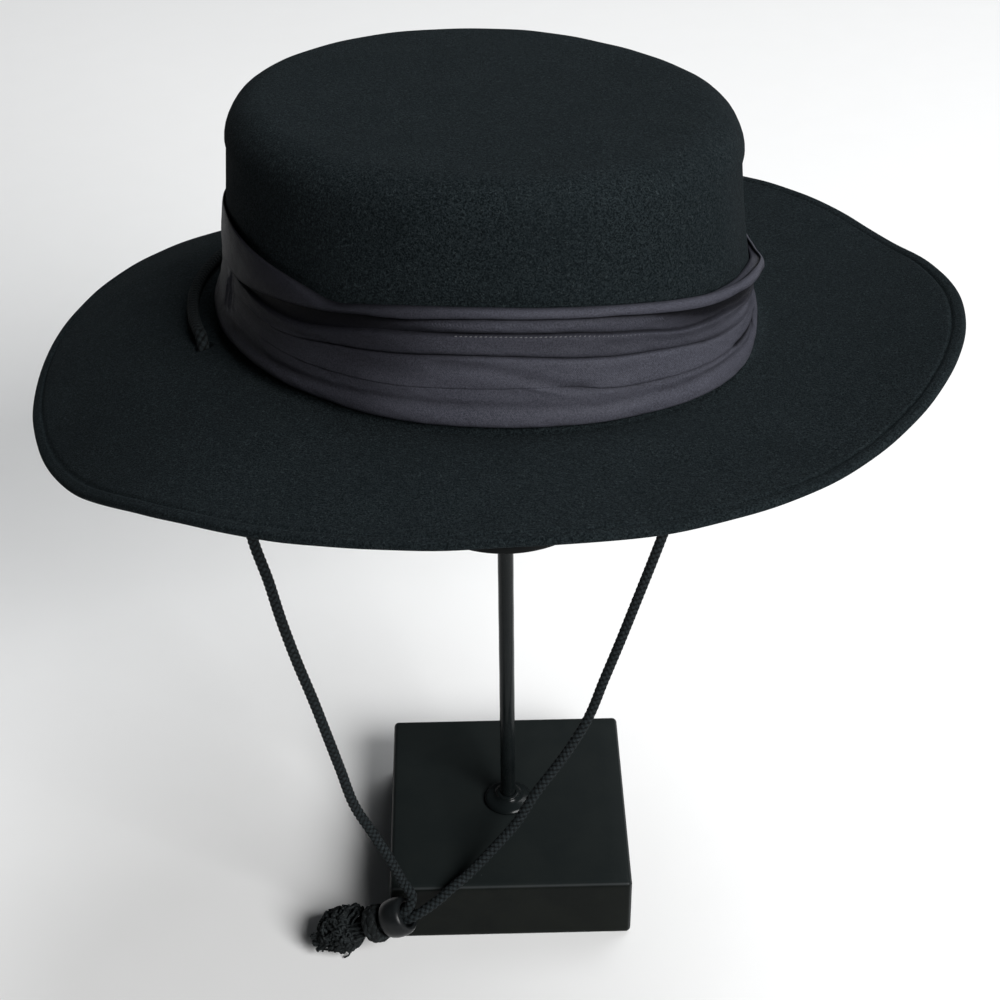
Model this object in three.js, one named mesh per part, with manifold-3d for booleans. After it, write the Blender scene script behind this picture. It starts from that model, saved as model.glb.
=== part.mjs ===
import * as THREE from 'three';
import * as BufferGeometryUtils from 'three/addons/utils/BufferGeometryUtils.js';
import Module from 'manifold-3d';

// A gaucho hat of wool felt on a small display stand, in millimetres. X runs to the
// right, Y away from the viewer, Z up; the origin is the centre of the base's
// underside, on the axis of the rod.

// Stand
const base_side = 93;
const base_height = 28.2;
const base_edge = 2;
const rod_diameter = 5.8;
const rod_socket_depth = 12;
const collar_diameter = 19;
const collar_height = 4.2;
const disc_diameter = 70;
const disc_thickness = 4;
const disc_height = 153;          // its underside above the base's top
const rest_post_diameter = 16;
const rest_post_flare = 6;        // how far it widens under the cap
const rest_cap_diameter = 84;
const rest_cap_crown = 60;        // radius of the cap's rounded top
const rest_cap_edge = 5;

// Hat, measured in its own frame: X to its right, Y to its back, Z up its crown,
// the origin on the brim's upper side in the middle of the crown
const felt_thickness = 2.8;
const crown_half_width = 86;
const crown_half_length = 101.5;
const crown_height = 70.6;
const crown_lean = 5.8;             // how far the wall comes in from foot to shoulder
const shoulder_radius = 13;
const top_rise = 1;
const junction_radius = 4;
const brim_width = 64;
const brim_bend = 1.5;            // power of the brim's sweep from crown to edge
const pressed_line_inset = 4;     // from the edge
const pressed_line_depth = 0.5;

// Where the hat sits on its stand
const hat_turn = 19.2;            // degrees, seen from above, to the left
const hat_tilt = 10;              // degrees, its front up
const hat_place = new THREE.Vector3(-6.2, 0.1, 260.3);

// Band and chin cord
const band_foot = 1.9;            // height of its lower edge above the brim
const band_height = 40;           // the full height that the folds share
const band_full = 3;              // from the crown's wall to a fold's groove
const cord_diameter = 4;
const cord_stand_off = 8.5;       // from the crown's foot out to a cord hole
const cord_hole_diameter = 6.6;
const bead_diameter = 15.2;
const bead_length = 9.6;
const bead_bore = 9.4;
const bead_place = new THREE.Vector3(-43.3, -55.6, 22.8);
const bead_axis = new THREE.Vector3(0.81, -0.2, 0.55).normalize();
const knot_radius = 7.6;
const knot_length = 7;
const tuft_place = new THREE.Vector3(-65.0, -50.9, 9.6);
const tuft_radius = 8.6;

const cord_reach = crown_half_width + cord_stand_off;

const clearance = 0.35;           // between neighbouring pieces
const ring_steps = 60;            // angular steps of crown, brim and band

// Rise of the brim's edge over the crown's foot every 15 degrees, from the hat's
// right side (0) over its back (90) and left side (180) to its front (270)
const edge_rise = [
  { at: 0, rise: 2.8 }, { at: 15, rise: 4.5 }, { at: 30, rise: 4.0 },
  { at: 45, rise: 0.4 }, { at: 60, rise: -4.9 }, { at: 75, rise: -10.7 },
  { at: 90, rise: -15.7 }, { at: 105, rise: -18.7 }, { at: 120, rise: -18.0 },
  { at: 135, rise: -19.0 }, { at: 150, rise: -23.6 }, { at: 165, rise: -28.0 },
  { at: 180, rise: -28.6 }, { at: 195, rise: -23.4 }, { at: 210, rise: -13.4 },
  { at: 225, rise: -7.4 }, { at: 240, rise: -3.6 }, { at: 255, rise: -0.6 },
  { at: 270, rise: -0.5 }, { at: 285, rise: 1.6 }, { at: 300, rise: 6.3 },
  { at: 315, rise: 10.1 }, { at: 330, rise: 10.4 }, { at: 345, rise: 6.7 },
];

// Heights of the four grooves between the band's folds and of its top, as shares of
// band_height, how far its upper roll stands off the crown, as a share of band_full, and
// how full the folds are there
const band_folds = [
  { at: 0, low: 0.215, wide: 0.37, stitched: 0.49, upper: 0.59, top: 0.713, flare: 0, full: 0.5 },
  { at: 40, low: 0.2, wide: 0.362, stitched: 0.5, upper: 0.625, top: 0.75, flare: 0, full: 0.5 },
  { at: 90, low: 0.2, wide: 0.375, stitched: 0.525, upper: 0.675, top: 0.8, flare: 0, full: 0.55 },
  { at: 140, low: 0.225, wide: 0.4, stitched: 0.537, upper: 0.65, top: 0.838, flare: 0, full: 0.4 },
  { at: 168, low: 0.4, wide: 0.487, stitched: 0.537, upper: 0.588, top: 0.94, flare: 0, full: 0.4 },
  { at: 182, low: 0.375, wide: 0.5, stitched: 0.562, upper: 0.613, top: 0.95, flare: 0, full: 0.5 },
  { at: 196, low: 0.338, wide: 0.5, stitched: 0.6, upper: 0.66, top: 0.922, flare: 0, full: 0.7 },
  { at: 208, low: 0.312, wide: 0.5, stitched: 0.625, upper: 0.7, top: 0.875, flare: 0, full: 0.85 },
  { at: 217, low: 0.305, wide: 0.508, stitched: 0.655, upper: 0.73, top: 0.81, flare: 0, full: 0.95 },
  { at: 230, low: 0.315, wide: 0.55, stitched: 0.698, upper: 0.815, top: 0.893, flare: 0, full: 1 },
  { at: 248, low: 0.35, wide: 0.597, stitched: 0.74, upper: 0.872, top: 0.938, flare: 0, full: 1 },
  { at: 262, low: 0.34, wide: 0.57, stitched: 0.73, upper: 0.863, top: 0.922, flare: 0, full: 1 },
  { at: 278, low: 0.29, wide: 0.515, stitched: 0.685, upper: 0.8, top: 0.87, flare: 0.07, full: 1 },
  { at: 292, low: 0.27, wide: 0.46, stitched: 0.625, upper: 0.715, top: 0.795, flare: 0.23, full: 0.9 },
  { at: 304, low: 0.287, wide: 0.42, stitched: 0.537, upper: 0.625, top: 0.725, flare: 0.5, full: 0.8 },
  { at: 316, low: 0.33, wide: 0.405, stitched: 0.465, upper: 0.562, top: 0.695, flare: 0.77, full: 0.7 },
  { at: 328, low: 0.325, wide: 0.41, stitched: 0.475, upper: 0.588, top: 0.715, flare: 0.73, full: 0.65 },
  { at: 342, low: 0.275, wide: 0.4, stitched: 0.5, upper: 0.613, top: 0.725, flare: 0.23, full: 0.55 },
];

// Fold by fold from the foot: how far it puffs out over the grooves beside it, as a
// share of band_full
const fold_puffs = [
  { from: 'foot', to: 'low', puff: 0.3 },
  { from: 'low', to: 'wide', puff: 0.37 },
  { from: 'wide', to: 'stitched', puff: 0.27 },
  { from: 'stitched', to: 'upper', puff: 0.23 },
  { from: 'upper', to: 'top', puff: 0.43 },
];

// The two hanging stretches of the cord below the brim, from hole to bead
const left_drop = [
  [-90.0, -31.0, 240], [-88.6, -31.6, 215], [-86.1, -32.3, 188.1], [-82.2, -33.8, 171.6],
  [-78.9, -35.4, 154.8], [-74.8, -37.0, 137.6], [-69.9, -38.8, 119.9], [-66.1, -40.4, 105.1],
  [-61.9, -42.4, 88.8], [-57.6, -44.6, 72.3], [-50.9, -46.8, 58.5], [-45.3, -49.2, 47.6],
  [-41.2, -51.2, 38.2], [-37.6, -54.2, 32.4],
];
const right_drop = [
  [79.6, 29.0, 235], [76.0, 26.4, 213], [68.6, 21.0, 182], [61.2, 15.2, 159],
  [54.8, 10.1, 141.3], [49.0, 5.7, 125.8], [43.1, 1.3, 110], [36.8, -3.5, 94.3],
  [30.6, -8.3, 78.8], [21.5, -15.2, 66.4], [9.9, -23.9, 54.8], [2.8, -29.3, 45.4],
  [-7.0, -36.6, 38], [-16.0, -43.2, 32.5], [-21.6, -47.6, 30.7], [-28.2, -52.6, 28],
];

// Locks of the frayed tuft: direction round the vertical and above the horizontal,
// length from the tuft's middle, width at the root, droop of the tip
const tuft_locks = [
  { turn: 186, lift: -14, length: 12.4, width: 6.0, droop: 0.8 },
  { turn: 160, lift: 8, length: 11.6, width: 6.4, droop: 0 },
  { turn: 208, lift: 14, length: 11.8, width: 6.4, droop: 0.5 },
  { turn: 178, lift: 40, length: 11.4, width: 6.4, droop: 0.5 },
  { turn: 130, lift: 42, length: 11.2, width: 6.2, droop: 0 },
  { turn: 232, lift: 44, length: 11.4, width: 6.4, droop: 0.5 },
  { turn: 240, lift: 2, length: 11.6, width: 6.6, droop: 0.6 },
  { turn: 268, lift: 28, length: 11.4, width: 6.4, droop: 0 },
  { turn: 280, lift: -12, length: 11.4, width: 6.2, droop: 0 },
  { turn: 306, lift: 14, length: 10.8, width: 6.0, droop: 0 },
  { turn: 218, lift: -32, length: 11.4, width: 6.2, droop: 0 },
  { turn: 120, lift: -6, length: 11.2, width: 6.0, droop: 0.4 },
  { turn: 88, lift: 18, length: 11.2, width: 6.0, droop: 0 },
  { turn: 38, lift: 54, length: 13.8, width: 4.8, droop: -1.6 },
];

const felt_black = { color: 0x101416, roughness: 0.95, metalness: 0 };
const satin_charcoal = { color: 0x2a2830, roughness: 0.55, metalness: 0 };
const cord_black = { color: 0x0d0f10, roughness: 0.9, metalness: 0 };
const bead_black = { color: 0x17181a, roughness: 0.25, metalness: 0 };
const block_black = { color: 0x111213, roughness: 0.4, metalness: 0 };
const metal_black = { color: 0x141517, roughness: 0.35, metalness: 0 };

const wasm = await Module();
wasm.setup();

const radians = THREE.MathUtils.degToRad;
const up = new THREE.Vector3(0, 0, 1);

const hat_to_stand = new THREE.Matrix4()
  .makeTranslation(hat_place.x, hat_place.y, hat_place.z)
  .multiply(new THREE.Matrix4().makeRotationX(radians(-hat_tilt)))
  .multiply(new THREE.Matrix4().makeRotationZ(radians(hat_turn)));

function merged(geometry) {
  const plain = geometry.clone();
  plain.deleteAttribute('normal');
  plain.deleteAttribute('uv');
  return BufferGeometryUtils.mergeVertices(plain, 1e-4);
}

function to_manifold(geometry) {
  const plain = merged(geometry);
  return new wasm.Manifold(new wasm.Mesh({
    numProp: 3,
    vertProperties: new Float32Array(plain.attributes.position.array),
    triVerts: new Uint32Array(plain.index.array),
  }));
}

function from_manifold(solid) {
  const mesh = solid.getMesh();
  const geometry = new THREE.BufferGeometry();
  geometry.setAttribute('position', new THREE.BufferAttribute(mesh.vertProperties, 3));
  geometry.setIndex(new THREE.BufferAttribute(mesh.triVerts, 1));
  return geometry;
}

function cut(geometry, tools) {
  let solid = to_manifold(geometry);
  for (const tool of tools) solid = solid.subtract(to_manifold(tool));
  return from_manifold(solid);
}

function fuse(geometries) {
  let solid = to_manifold(geometries[0]);
  for (const other of geometries.slice(1)) solid = solid.add(to_manifold(other));
  return from_manifold(solid);
}

// A closed skin through rows of points. A row of one point is a pole; where the
// first row is a ring, the last one joins it.
function skin(rows) {
  const points = [];
  const first = rows.map((row) => {
    points.push(...row);
    return points.length - row.length;
  });
  const index = [];
  const round = rows[0].length > 1;
  for (let i = 0; i + (round ? 0 : 1) < rows.length; i++) {
    const k = (i + 1) % rows.length;
    const n = Math.max(rows[i].length, rows[k].length);
    for (let j = 0; j < n; j++) {
      const a = first[i] + (rows[i].length > 1 ? j : 0);
      const b = first[i] + (rows[i].length > 1 ? (j + 1) % n : 0);
      const c = first[k] + (rows[k].length > 1 ? (j + 1) % n : 0);
      const d = first[k] + (rows[k].length > 1 ? j : 0);
      if (a !== b) index.push(a, b, c);
      if (c !== d) index.push(a, c, d);
    }
  }
  const geometry = new THREE.BufferGeometry().setFromPoints(points);
  geometry.setIndex(index);
  return facing_out(geometry);
}

function facing_out(geometry) {
  const at = geometry.attributes.position;
  const index = geometry.index.array;
  const [a, b, c] = [new THREE.Vector3(), new THREE.Vector3(), new THREE.Vector3()];
  let volume = 0;
  for (let i = 0; i < index.length; i += 3) {
    a.fromBufferAttribute(at, index[i]);
    b.fromBufferAttribute(at, index[i + 1]);
    c.fromBufferAttribute(at, index[i + 2]);
    volume += a.dot(b.cross(c));
  }
  if (volume < 0) {
    for (let i = 0; i < index.length; i += 3) {
      [index[i + 1], index[i + 2]] = [index[i + 2], index[i + 1]];
    }
  }
  return geometry;
}

// A value between the rows of a table that goes once round the hat
function round_the_hat(table, column, angle) {
  const turn = ((angle % 360) + 360) % 360;
  const n = table.length;
  let i = n - 1;
  while (table[i].at > turn) i--;
  const row = (k) => table[(i + k + n) % n];
  const span = (row(1).at - row(0).at + 360) % 360;
  const f = (turn - row(0).at) / span;
  const [p, q, r, s] = [-1, 0, 1, 2].map((k) => row(k)[column]);
  return 0.5 * (2 * q + (r - p) * f + (2 * p - 5 * q + 4 * r - s) * f * f
    + (3 * q - p - 3 * r + s) * f * f * f);
}

// A point beside the oval that the crown's wall stands on: angle round the hat,
// distance outwards from that oval, height
function beside_crown(angle, outward, height, share = 1) {
  const [c, s] = [Math.cos(radians(angle)), Math.sin(radians(angle))];
  const [nx, ny] = [crown_half_length * c, crown_half_width * s];
  const n = Math.hypot(nx, ny);
  return new THREE.Vector3(
    (crown_half_width * c + outward * nx / n) * share,
    (crown_half_length * s + outward * ny / n) * share,
    height,
  );
}

const angles = Array.from({ length: ring_steps }, (_, j) => 360 * j / ring_steps);
const ring = (point) => angles.map(point);

// Height of the brim's upper side at a share of its sweep from crown to edge
function brim_height(angle, share) {
  return round_the_hat(edge_rise, 'rise', angle) * share ** brim_bend;
}

function felt_body() {
  const shoulder_foot = crown_height - shoulder_radius;
  const top_inset = crown_lean + shoulder_radius;
  const outer = [[new THREE.Vector3(0, 0, crown_height + top_rise)]];
  for (const share of [0.42, 0.78]) {
    const height = crown_height + top_rise * (1 - share * share);
    outer.push(ring((a) => beside_crown(a, -top_inset, height, share)));
  }
  for (const q of [90, 66, 44, 22, 0]) {
    const inset = top_inset - shoulder_radius * Math.cos(radians(q));
    const height = shoulder_foot + shoulder_radius * Math.sin(radians(q));
    outer.push(ring((a) => beside_crown(a, -inset, height)));
  }
  for (const share of [0.6, 0.25, 0]) {
    const height = junction_radius + (shoulder_foot - junction_radius) * share;
    outer.push(ring((a) => beside_crown(a, -crown_lean * share, height)));
  }
  for (const q of [30, 60, 90]) {
    const outward = junction_radius * (1 - Math.cos(radians(q)));
    const height = junction_radius * (1 - Math.sin(radians(q)));
    outer.push(ring((a) => beside_crown(a, outward, height)));
  }
  const sweep = brim_width - junction_radius;
  const edge = 1 - felt_thickness / 2 / sweep;
  const line = 1 - pressed_line_inset / sweep;
  const line_half = 1 / sweep;
  const brim_rows = [
    { share: 0.2, dip: 0 }, { share: 0.45, dip: 0 }, { share: 0.7, dip: 0 },
    { share: line - line_half, dip: 0 },
    { share: line, dip: pressed_line_depth }, { share: line + line_half, dip: 0 },
    { share: edge, dip: 0 },
  ];
  for (const { share, dip } of brim_rows) {
    const outward = junction_radius + sweep * share;
    outer.push(ring((a) => beside_crown(a, outward, brim_height(a, share) - dip)));
  }

  // the inner skin lies one felt thickness under the outer one, along its normal
  const below = (i, j, depth) => {
    if (outer[i].length === 1) return outer[i][0].clone().addScaledVector(up, -depth);
    const n = ring_steps;
    const along = outer[i][(j + 1) % n].clone().sub(outer[i][(j + n - 1) % n]);
    const next = outer[Math.min(i + 1, outer.length - 1)][j];
    const last = outer[i - 1].length === 1 ? outer[0][0] : outer[i - 1][j];
    const down = next.clone().sub(last);
    const normal = down.cross(along).normalize();
    return outer[i][j].clone().addScaledVector(normal, -depth);
  };
  const last = outer.length - 1;
  const rim = angles.map((a, j) => {
    const middle = below(last, j, felt_thickness / 2);
    const outward = beside_crown(a, 1, 0).sub(beside_crown(a, 0, 0));
    return middle.addScaledVector(outward, felt_thickness / 2);
  });
  // the pressed line shows on top only, and the inside takes fewer rows
  const skipped = [last - 1, last - 2, last - 5, last - 9, 1, 4, 6, 8];
  const inner = [];
  for (let i = last; i >= 0; i--) {
    if (skipped.includes(i)) continue;
    inner.push(outer[i].map((_, j) => below(i, j, felt_thickness)));
  }
  const body = skin([...outer, rim, ...inner]);

  const hole_radius = cord_hole_diameter / 2;
  const holes = [1, -1].map((side) => {
    const tool = new THREE.CylinderGeometry(hole_radius, hole_radius, 20, 16);
    tool.rotateX(Math.PI / 2);
    tool.translate(side * cord_reach, 0, 0);
    return tool;
  });
  return cut(body, holes).applyMatrix4(hat_to_stand);
}

// How far the crown's outer wall stands from its foot's oval at a height
function wall_outward(height) {
  if (height < junction_radius) {
    const rest = junction_radius - height;
    return junction_radius - Math.sqrt(junction_radius ** 2 - rest ** 2);
  }
  const shoulder_foot = crown_height - shoulder_radius;
  return -crown_lean * (height - junction_radius) / (shoulder_foot - junction_radius);
}

function hat_band() {
  const line_height = (line, a) => (
    line === 'foot' ? band_foot : band_height * round_the_hat(band_folds, line, a));
  const flare = (height, a) => {
    const share = (height - band_foot) / (line_height('top', a) - band_foot);
    return band_full * round_the_hat(band_folds, 'flare', a) * Math.max(0, share) ** 2;
  };
  const face = (fold, share, puff) => ring((a) => {
    const low = line_height(fold.from, a);
    const height = low + (line_height(fold.to, a) - low) * share;
    const full = round_the_hat(band_folds, 'full', a) * band_full * (1 + puff * fold.puff);
    const wall = wall_outward(Math.max(height, junction_radius));
    return beside_crown(a, wall + full + flare(height, a), height);
  });
  const rows = [];
  for (const fold of fold_puffs) {
    rows.push(face(fold, fold.from === 'foot' ? 0 : 0.04, fold.from === 'foot' ? 0.5 : -0.6));
    rows.push(face(fold, 0.3, 1), face(fold, 0.75, 0.9));
  }
  rows.push(ring((a) => {
    const top = line_height('top', a);
    const full = 0.62 * band_full * round_the_hat(band_folds, 'full', a);
    return beside_crown(a, wall_outward(top) + full + flare(top, a), top + 0.3);
  }));
  const lining = (height_of, gap) => ring((a) => {
    const height = height_of(a);
    return beside_crown(a, wall_outward(height) + gap + flare(height, a), height);
  });
  rows.push(lining((a) => line_height('top', a) - 0.6, 0.45));
  rows.push(lining((a) => line_height('wide', a), 0.5));
  rows.push(lining(() => junction_radius, 0.5));
  rows.push(lining(() => band_foot, 0.6));
  return skin(rows).applyMatrix4(hat_to_stand);
}

// A round cord through points, cut off square at both ends
function cord(points, steps) {
  const section = new THREE.Shape(Array.from({ length: 8 }, (_, k) => (
    new THREE.Vector2(Math.cos(Math.PI * k / 4), Math.sin(Math.PI * k / 4))
      .multiplyScalar(cord_diameter / 2))));
  return new THREE.ExtrudeGeometry(section, {
    steps,
    extrudePath: new THREE.CatmullRomCurve3(points, false, 'centripetal'),
  });
}

// A point by a cord hole, in the hat's frame: height over the brim's upper side and
// distance towards the back
function by_hole(side, height, back = 0) {
  const angle = side > 0 ? 0 : 180;
  const share = (cord_stand_off - junction_radius) / (brim_width - junction_radius);
  return new THREE.Vector3(side * cord_reach, back, brim_height(angle, share) + height);
}

function chin_cord_back() {
  const lie = cord_diameter / 2 + clearance + 0.25;
  const share = (cord_stand_off - junction_radius) / (brim_width - junction_radius);
  const on_brim = (a) => beside_crown(a, cord_stand_off, brim_height(a, share) + lie);
  const middle = -(felt_thickness - clearance) / 2;
  const bend = [{ height: middle, back: 0 }, { height: 0, back: 0.05 },
    { height: 1.6, back: 0.9 }, { height: 2.9, back: 2.8 }, { height: 3.2, back: 6 }];
  const bend_at = (side) => bend.map(({ height, back }) => by_hole(side, height, back));
  const points = bend_at(1);
  for (let a = 10; a <= 170; a += 10) points.push(on_brim(a));
  points.push(...bend_at(-1).reverse());
  return cord(points, 78).applyMatrix4(hat_to_stand);
}

function cord_drop(side, route) {
  const middle = (felt_thickness + clearance) / 2;
  const start = [by_hole(side, -middle), by_hole(side, -felt_thickness - 1.5)]
    .map((p) => p.applyMatrix4(hat_to_stand));
  const beside = new THREE.Vector3(0, 1, 0).cross(bead_axis).normalize()
    .multiplyScalar(side * (cord_diameter / 2 + clearance / 2 + 0.05));
  const in_bead = (along) => bead_place.clone()
    .addScaledVector(bead_axis, along).add(beside);
  const end = [in_bead(bead_length / 2 + 1), in_bead(-bead_length / 2 + 0.6)];
  const points = [...start, ...route.map((p) => new THREE.Vector3(...p)), ...end];
  return cord(points, side > 0 ? 36 : 32);
}

// Turned round Y, then stood along an axis through a point
function turned(profile, segments, place, axis) {
  const closed = [...profile, profile[0]].map(([r, y]) => new THREE.Vector2(r, y));
  const geometry = merged(new THREE.LatheGeometry(closed, segments));
  const lay = new THREE.Quaternion()
    .setFromUnitVectors(new THREE.Vector3(0, 1, 0), axis);
  geometry.applyQuaternion(lay).translate(place.x, place.y, place.z);
  return facing_out(geometry);
}

function slide_bead() {
  const [r, b, h] = [bead_diameter / 2, bead_bore / 2, bead_length / 2];
  return turned([
    [b, -h], [r * 0.8, -h], [r * 0.95, -h * 0.68], [r, 0],
    [r * 0.95, h * 0.68], [r * 0.8, h], [b, h],
  ], 20, bead_place, bead_axis);
}

function cord_tassel() {
  const near = bead_place.clone()
    .addScaledVector(bead_axis, -(bead_length / 2 + clearance));
  const [r, l] = [knot_radius, knot_length];
  const knot = turned([
    [0, 0], [r * 0.7, -0.1], [r, -l * 0.35], [r, -l * 0.65], [r * 0.7, -l], [0, -l],
  ], 10, near, bead_axis);
  const core = new THREE.IcosahedronGeometry(tuft_radius, 1);
  core.scale(1.05, 1, 1.05).translate(tuft_place.x, tuft_place.y, tuft_place.z);
  const neck_from = near.clone().addScaledVector(bead_axis, -l * 0.7);
  const neck = strand([neck_from, neck_from.clone().lerp(tuft_place, 0.75)], [7.2, 7.6], 8);
  const locks = tuft_locks.map(({ turn, lift, length, width, droop }) => {
    const out = new THREE.Vector3(
      Math.cos(radians(lift)) * Math.cos(radians(turn)),
      Math.cos(radians(lift)) * Math.sin(radians(turn)),
      Math.sin(radians(lift)),
    );
    const at = (share, drop) => tuft_place.clone()
      .addScaledVector(out, length * share).addScaledVector(up, -drop);
    return strand(
      [at(0.35, 0), at(0.78, 0), at(1, droop)],
      [width * 0.5, width * 0.55, width * 0.28], 5,
    );
  });
  return fuse([core, knot, neck, ...locks]);
}

// A tapering strand: rings of a given radius on a run of points, closed at its ends
function strand(points, radii, sides) {
  const rows = points.map((p, i) => {
    const ahead = points[Math.min(i + 1, points.length - 1)];
    const along = ahead.clone().sub(points[Math.max(i - 1, 0)]).normalize();
    const across = new THREE.Vector3(0.31, 0.17, 0.93).cross(along).normalize();
    const over = along.clone().cross(across);
    return Array.from({ length: sides }, (_, k) => p.clone()
      .addScaledVector(across, radii[i] * Math.cos(2 * Math.PI * k / sides))
      .addScaledVector(over, radii[i] * Math.sin(2 * Math.PI * k / sides)));
  });
  return skin([[points[0]], ...rows, [points[points.length - 1]]]);
}

const base_top = base_height;
const disc_under = base_top + disc_height;

function stand_base() {
  const half = base_side / 2 - base_edge;
  const shape = new THREE.Shape([
    [-half, -half], [half, -half], [half, half], [-half, half],
  ].map(([x, y]) => new THREE.Vector2(x, y)));
  const block = new THREE.ExtrudeGeometry(shape, {
    depth: base_height - 2 * base_edge,
    bevelEnabled: true,
    bevelSize: base_edge,
    bevelThickness: base_edge,
    bevelSegments: 3,
    steps: 1,
  });
  block.translate(0, 0, base_edge);
  const socket_radius = rod_diameter / 2 + clearance;
  const socket = new THREE.CylinderGeometry(
    socket_radius, socket_radius, rod_socket_depth * 2, 20);
  socket.rotateX(Math.PI / 2).translate(0, 0, base_top);
  return cut(block, [socket]);
}

function stand_collar() {
  const [r, b, h] = [collar_diameter / 2, rod_diameter / 2 + clearance, collar_height];
  return turned([
    [b, 0], [r * 0.94, 0], [r, h * 0.2], [r * 0.94, h * 0.45], [r * 0.66, h * 0.62],
    [r * 0.52, h], [b, h],
  ], 24, new THREE.Vector3(0, 0, base_top + clearance), up);
}

const rod_foot = base_top - rod_socket_depth + clearance;
const rod_top = disc_under + disc_thickness + 14;

function stand_rod() {
  const rod = new THREE.CylinderGeometry(
    rod_diameter / 2, rod_diameter / 2, rod_top - rod_foot, 16);
  return rod.rotateX(Math.PI / 2).translate(0, 0, (rod_foot + rod_top) / 2);
}

function stand_disc() {
  const [r, b, h] = [disc_diameter / 2, rod_diameter / 2 + clearance, disc_thickness];
  return turned([
    [b, 0], [r - 1.4, 0], [r, h * 0.35], [r, h * 0.65], [r - 1.4, h], [b, h],
  ], 32, new THREE.Vector3(0, 0, disc_under), up);
}

function hat_rest() {
  // the rounded cap touches the tilted ceiling of the crown but for the clearance
  const ceiling = new THREE.Vector3(0, 0, crown_height - felt_thickness)
    .applyMatrix4(hat_to_stand);
  const normal = up.clone().transformDirection(hat_to_stand);
  const cap = rest_cap_diameter / 2;
  const middle = normal.dot(ceiling) / normal.z - (rest_cap_crown + clearance) / normal.z;
  const dome = (r) => middle + Math.sqrt(rest_cap_crown ** 2 - r ** 2);
  const foot = disc_under + disc_thickness + clearance;
  const under = dome(cap) - rest_cap_edge;
  const post = rest_post_diameter / 2;
  const socket = rod_diameter / 2 + clearance;
  return turned([
    [socket, foot], [post, foot], [post, under - rest_post_flare],
    [post + rest_post_flare, under], [cap - 1.5, under],
    [cap, under + 1.5], [cap, dome(cap)], [cap * 0.8, dome(cap * 0.8)],
    [cap * 0.6, dome(cap * 0.6)], [cap * 0.35, dome(cap * 0.35)], [0, dome(0)],
    [0, rod_top + clearance], [socket, rod_top + clearance],
  ], 24, new THREE.Vector3(0, 0, 0), up);
}

const pieces = [
  ['felt_body', felt_body(), felt_black],
  ['hat_band', hat_band(), satin_charcoal],
  ['chin_cord_back', chin_cord_back(), cord_black],
  ['chin_cord_left', cord_drop(-1, left_drop), cord_black],
  ['chin_cord_right', cord_drop(1, right_drop), cord_black],
  ['slide_bead', slide_bead(), bead_black],
  ['cord_tassel', cord_tassel(), cord_black],
  ['stand_base', stand_base(), block_black],
  ['stand_collar', stand_collar(), metal_black],
  ['stand_rod', stand_rod(), metal_black],
  ['stand_disc', stand_disc(), metal_black],
  ['hat_rest', hat_rest(), block_black],
];

const hat_on_stand = new THREE.Group();
for (const [name, geometry, finish] of pieces) {
  const piece = new THREE.Mesh(merged(geometry), new THREE.MeshStandardMaterial(finish));
  piece.name = name;
  hat_on_stand.add(piece);
}

export default hat_on_stand;
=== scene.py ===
# %% [markdown]
# # A gaucho hat on its display stand
#
# A black wool felt hat with a flat crown and a wide wavy brim, a satin band laid in
# folds, and a braided chin cord that ends in a bead and a frayed tuft. It sits on a
# small stand: a square block, a thin rod, a disc, and a hidden post under the crown.
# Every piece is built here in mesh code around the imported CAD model, in metres and in
# the same frame. X is right, Y is away from the viewer, Z is up, and the origin is the
# middle of the block's underside.

# %% The frame
import math

import bmesh
import bpy
import numpy as np
from mathutils import Matrix, Vector


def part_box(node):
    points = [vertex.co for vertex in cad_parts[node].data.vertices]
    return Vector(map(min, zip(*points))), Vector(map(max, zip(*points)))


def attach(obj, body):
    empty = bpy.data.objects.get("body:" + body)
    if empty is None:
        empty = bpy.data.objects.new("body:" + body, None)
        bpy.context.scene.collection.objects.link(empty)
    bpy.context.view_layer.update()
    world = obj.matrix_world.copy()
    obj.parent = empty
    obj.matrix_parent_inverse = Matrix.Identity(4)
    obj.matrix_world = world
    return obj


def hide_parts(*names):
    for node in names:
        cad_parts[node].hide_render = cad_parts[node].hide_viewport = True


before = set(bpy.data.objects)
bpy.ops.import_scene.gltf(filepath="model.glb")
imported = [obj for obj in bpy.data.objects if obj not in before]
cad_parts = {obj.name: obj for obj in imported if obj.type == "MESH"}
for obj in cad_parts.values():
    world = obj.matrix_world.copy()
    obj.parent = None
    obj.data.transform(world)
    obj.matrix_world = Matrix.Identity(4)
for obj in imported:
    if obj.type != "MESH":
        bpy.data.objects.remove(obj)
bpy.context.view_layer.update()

mm = 0.001
print("CAD nodes:", sorted(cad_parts))

# %% [markdown]
# ## Camera
#
# The viewer stands over the hat and looks down at it. The place, tilt and lens were
# solved from the block's square corners and the rod. A camera looks along its own
# -Z, so it is turned up from looking straight down, then round, then rolled.

# %% Camera
def placed(name, data):
    """A new object for a mesh, a camera or a lamp, linked to the scene."""
    item = bpy.data.objects.new(name, data)
    bpy.context.scene.collection.objects.link(item)
    return item


camera_place = Vector((-9.6, -567.8, 609.9)) * mm
camera_dip, camera_turn, camera_roll = (math.radians(x) for x in (37.23, -0.79, -0.71))
camera_data = bpy.data.cameras.new("camera")
camera_data.lens, camera_data.sensor_width, camera_data.clip_start = 72.3, 36, 0.05
camera = placed("camera", camera_data)
camera.matrix_world = (
    Matrix.Translation(camera_place) @ Matrix.Rotation(camera_turn, 4, "Z")
    @ Matrix.Rotation(math.pi / 2 - camera_dip, 4, "X")
    @ Matrix.Rotation(camera_roll, 4, "Z"))
bpy.context.scene.camera = camera
print("camera", tuple(round(x, 3) for x in camera_place), "lens", camera_data.lens)

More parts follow.
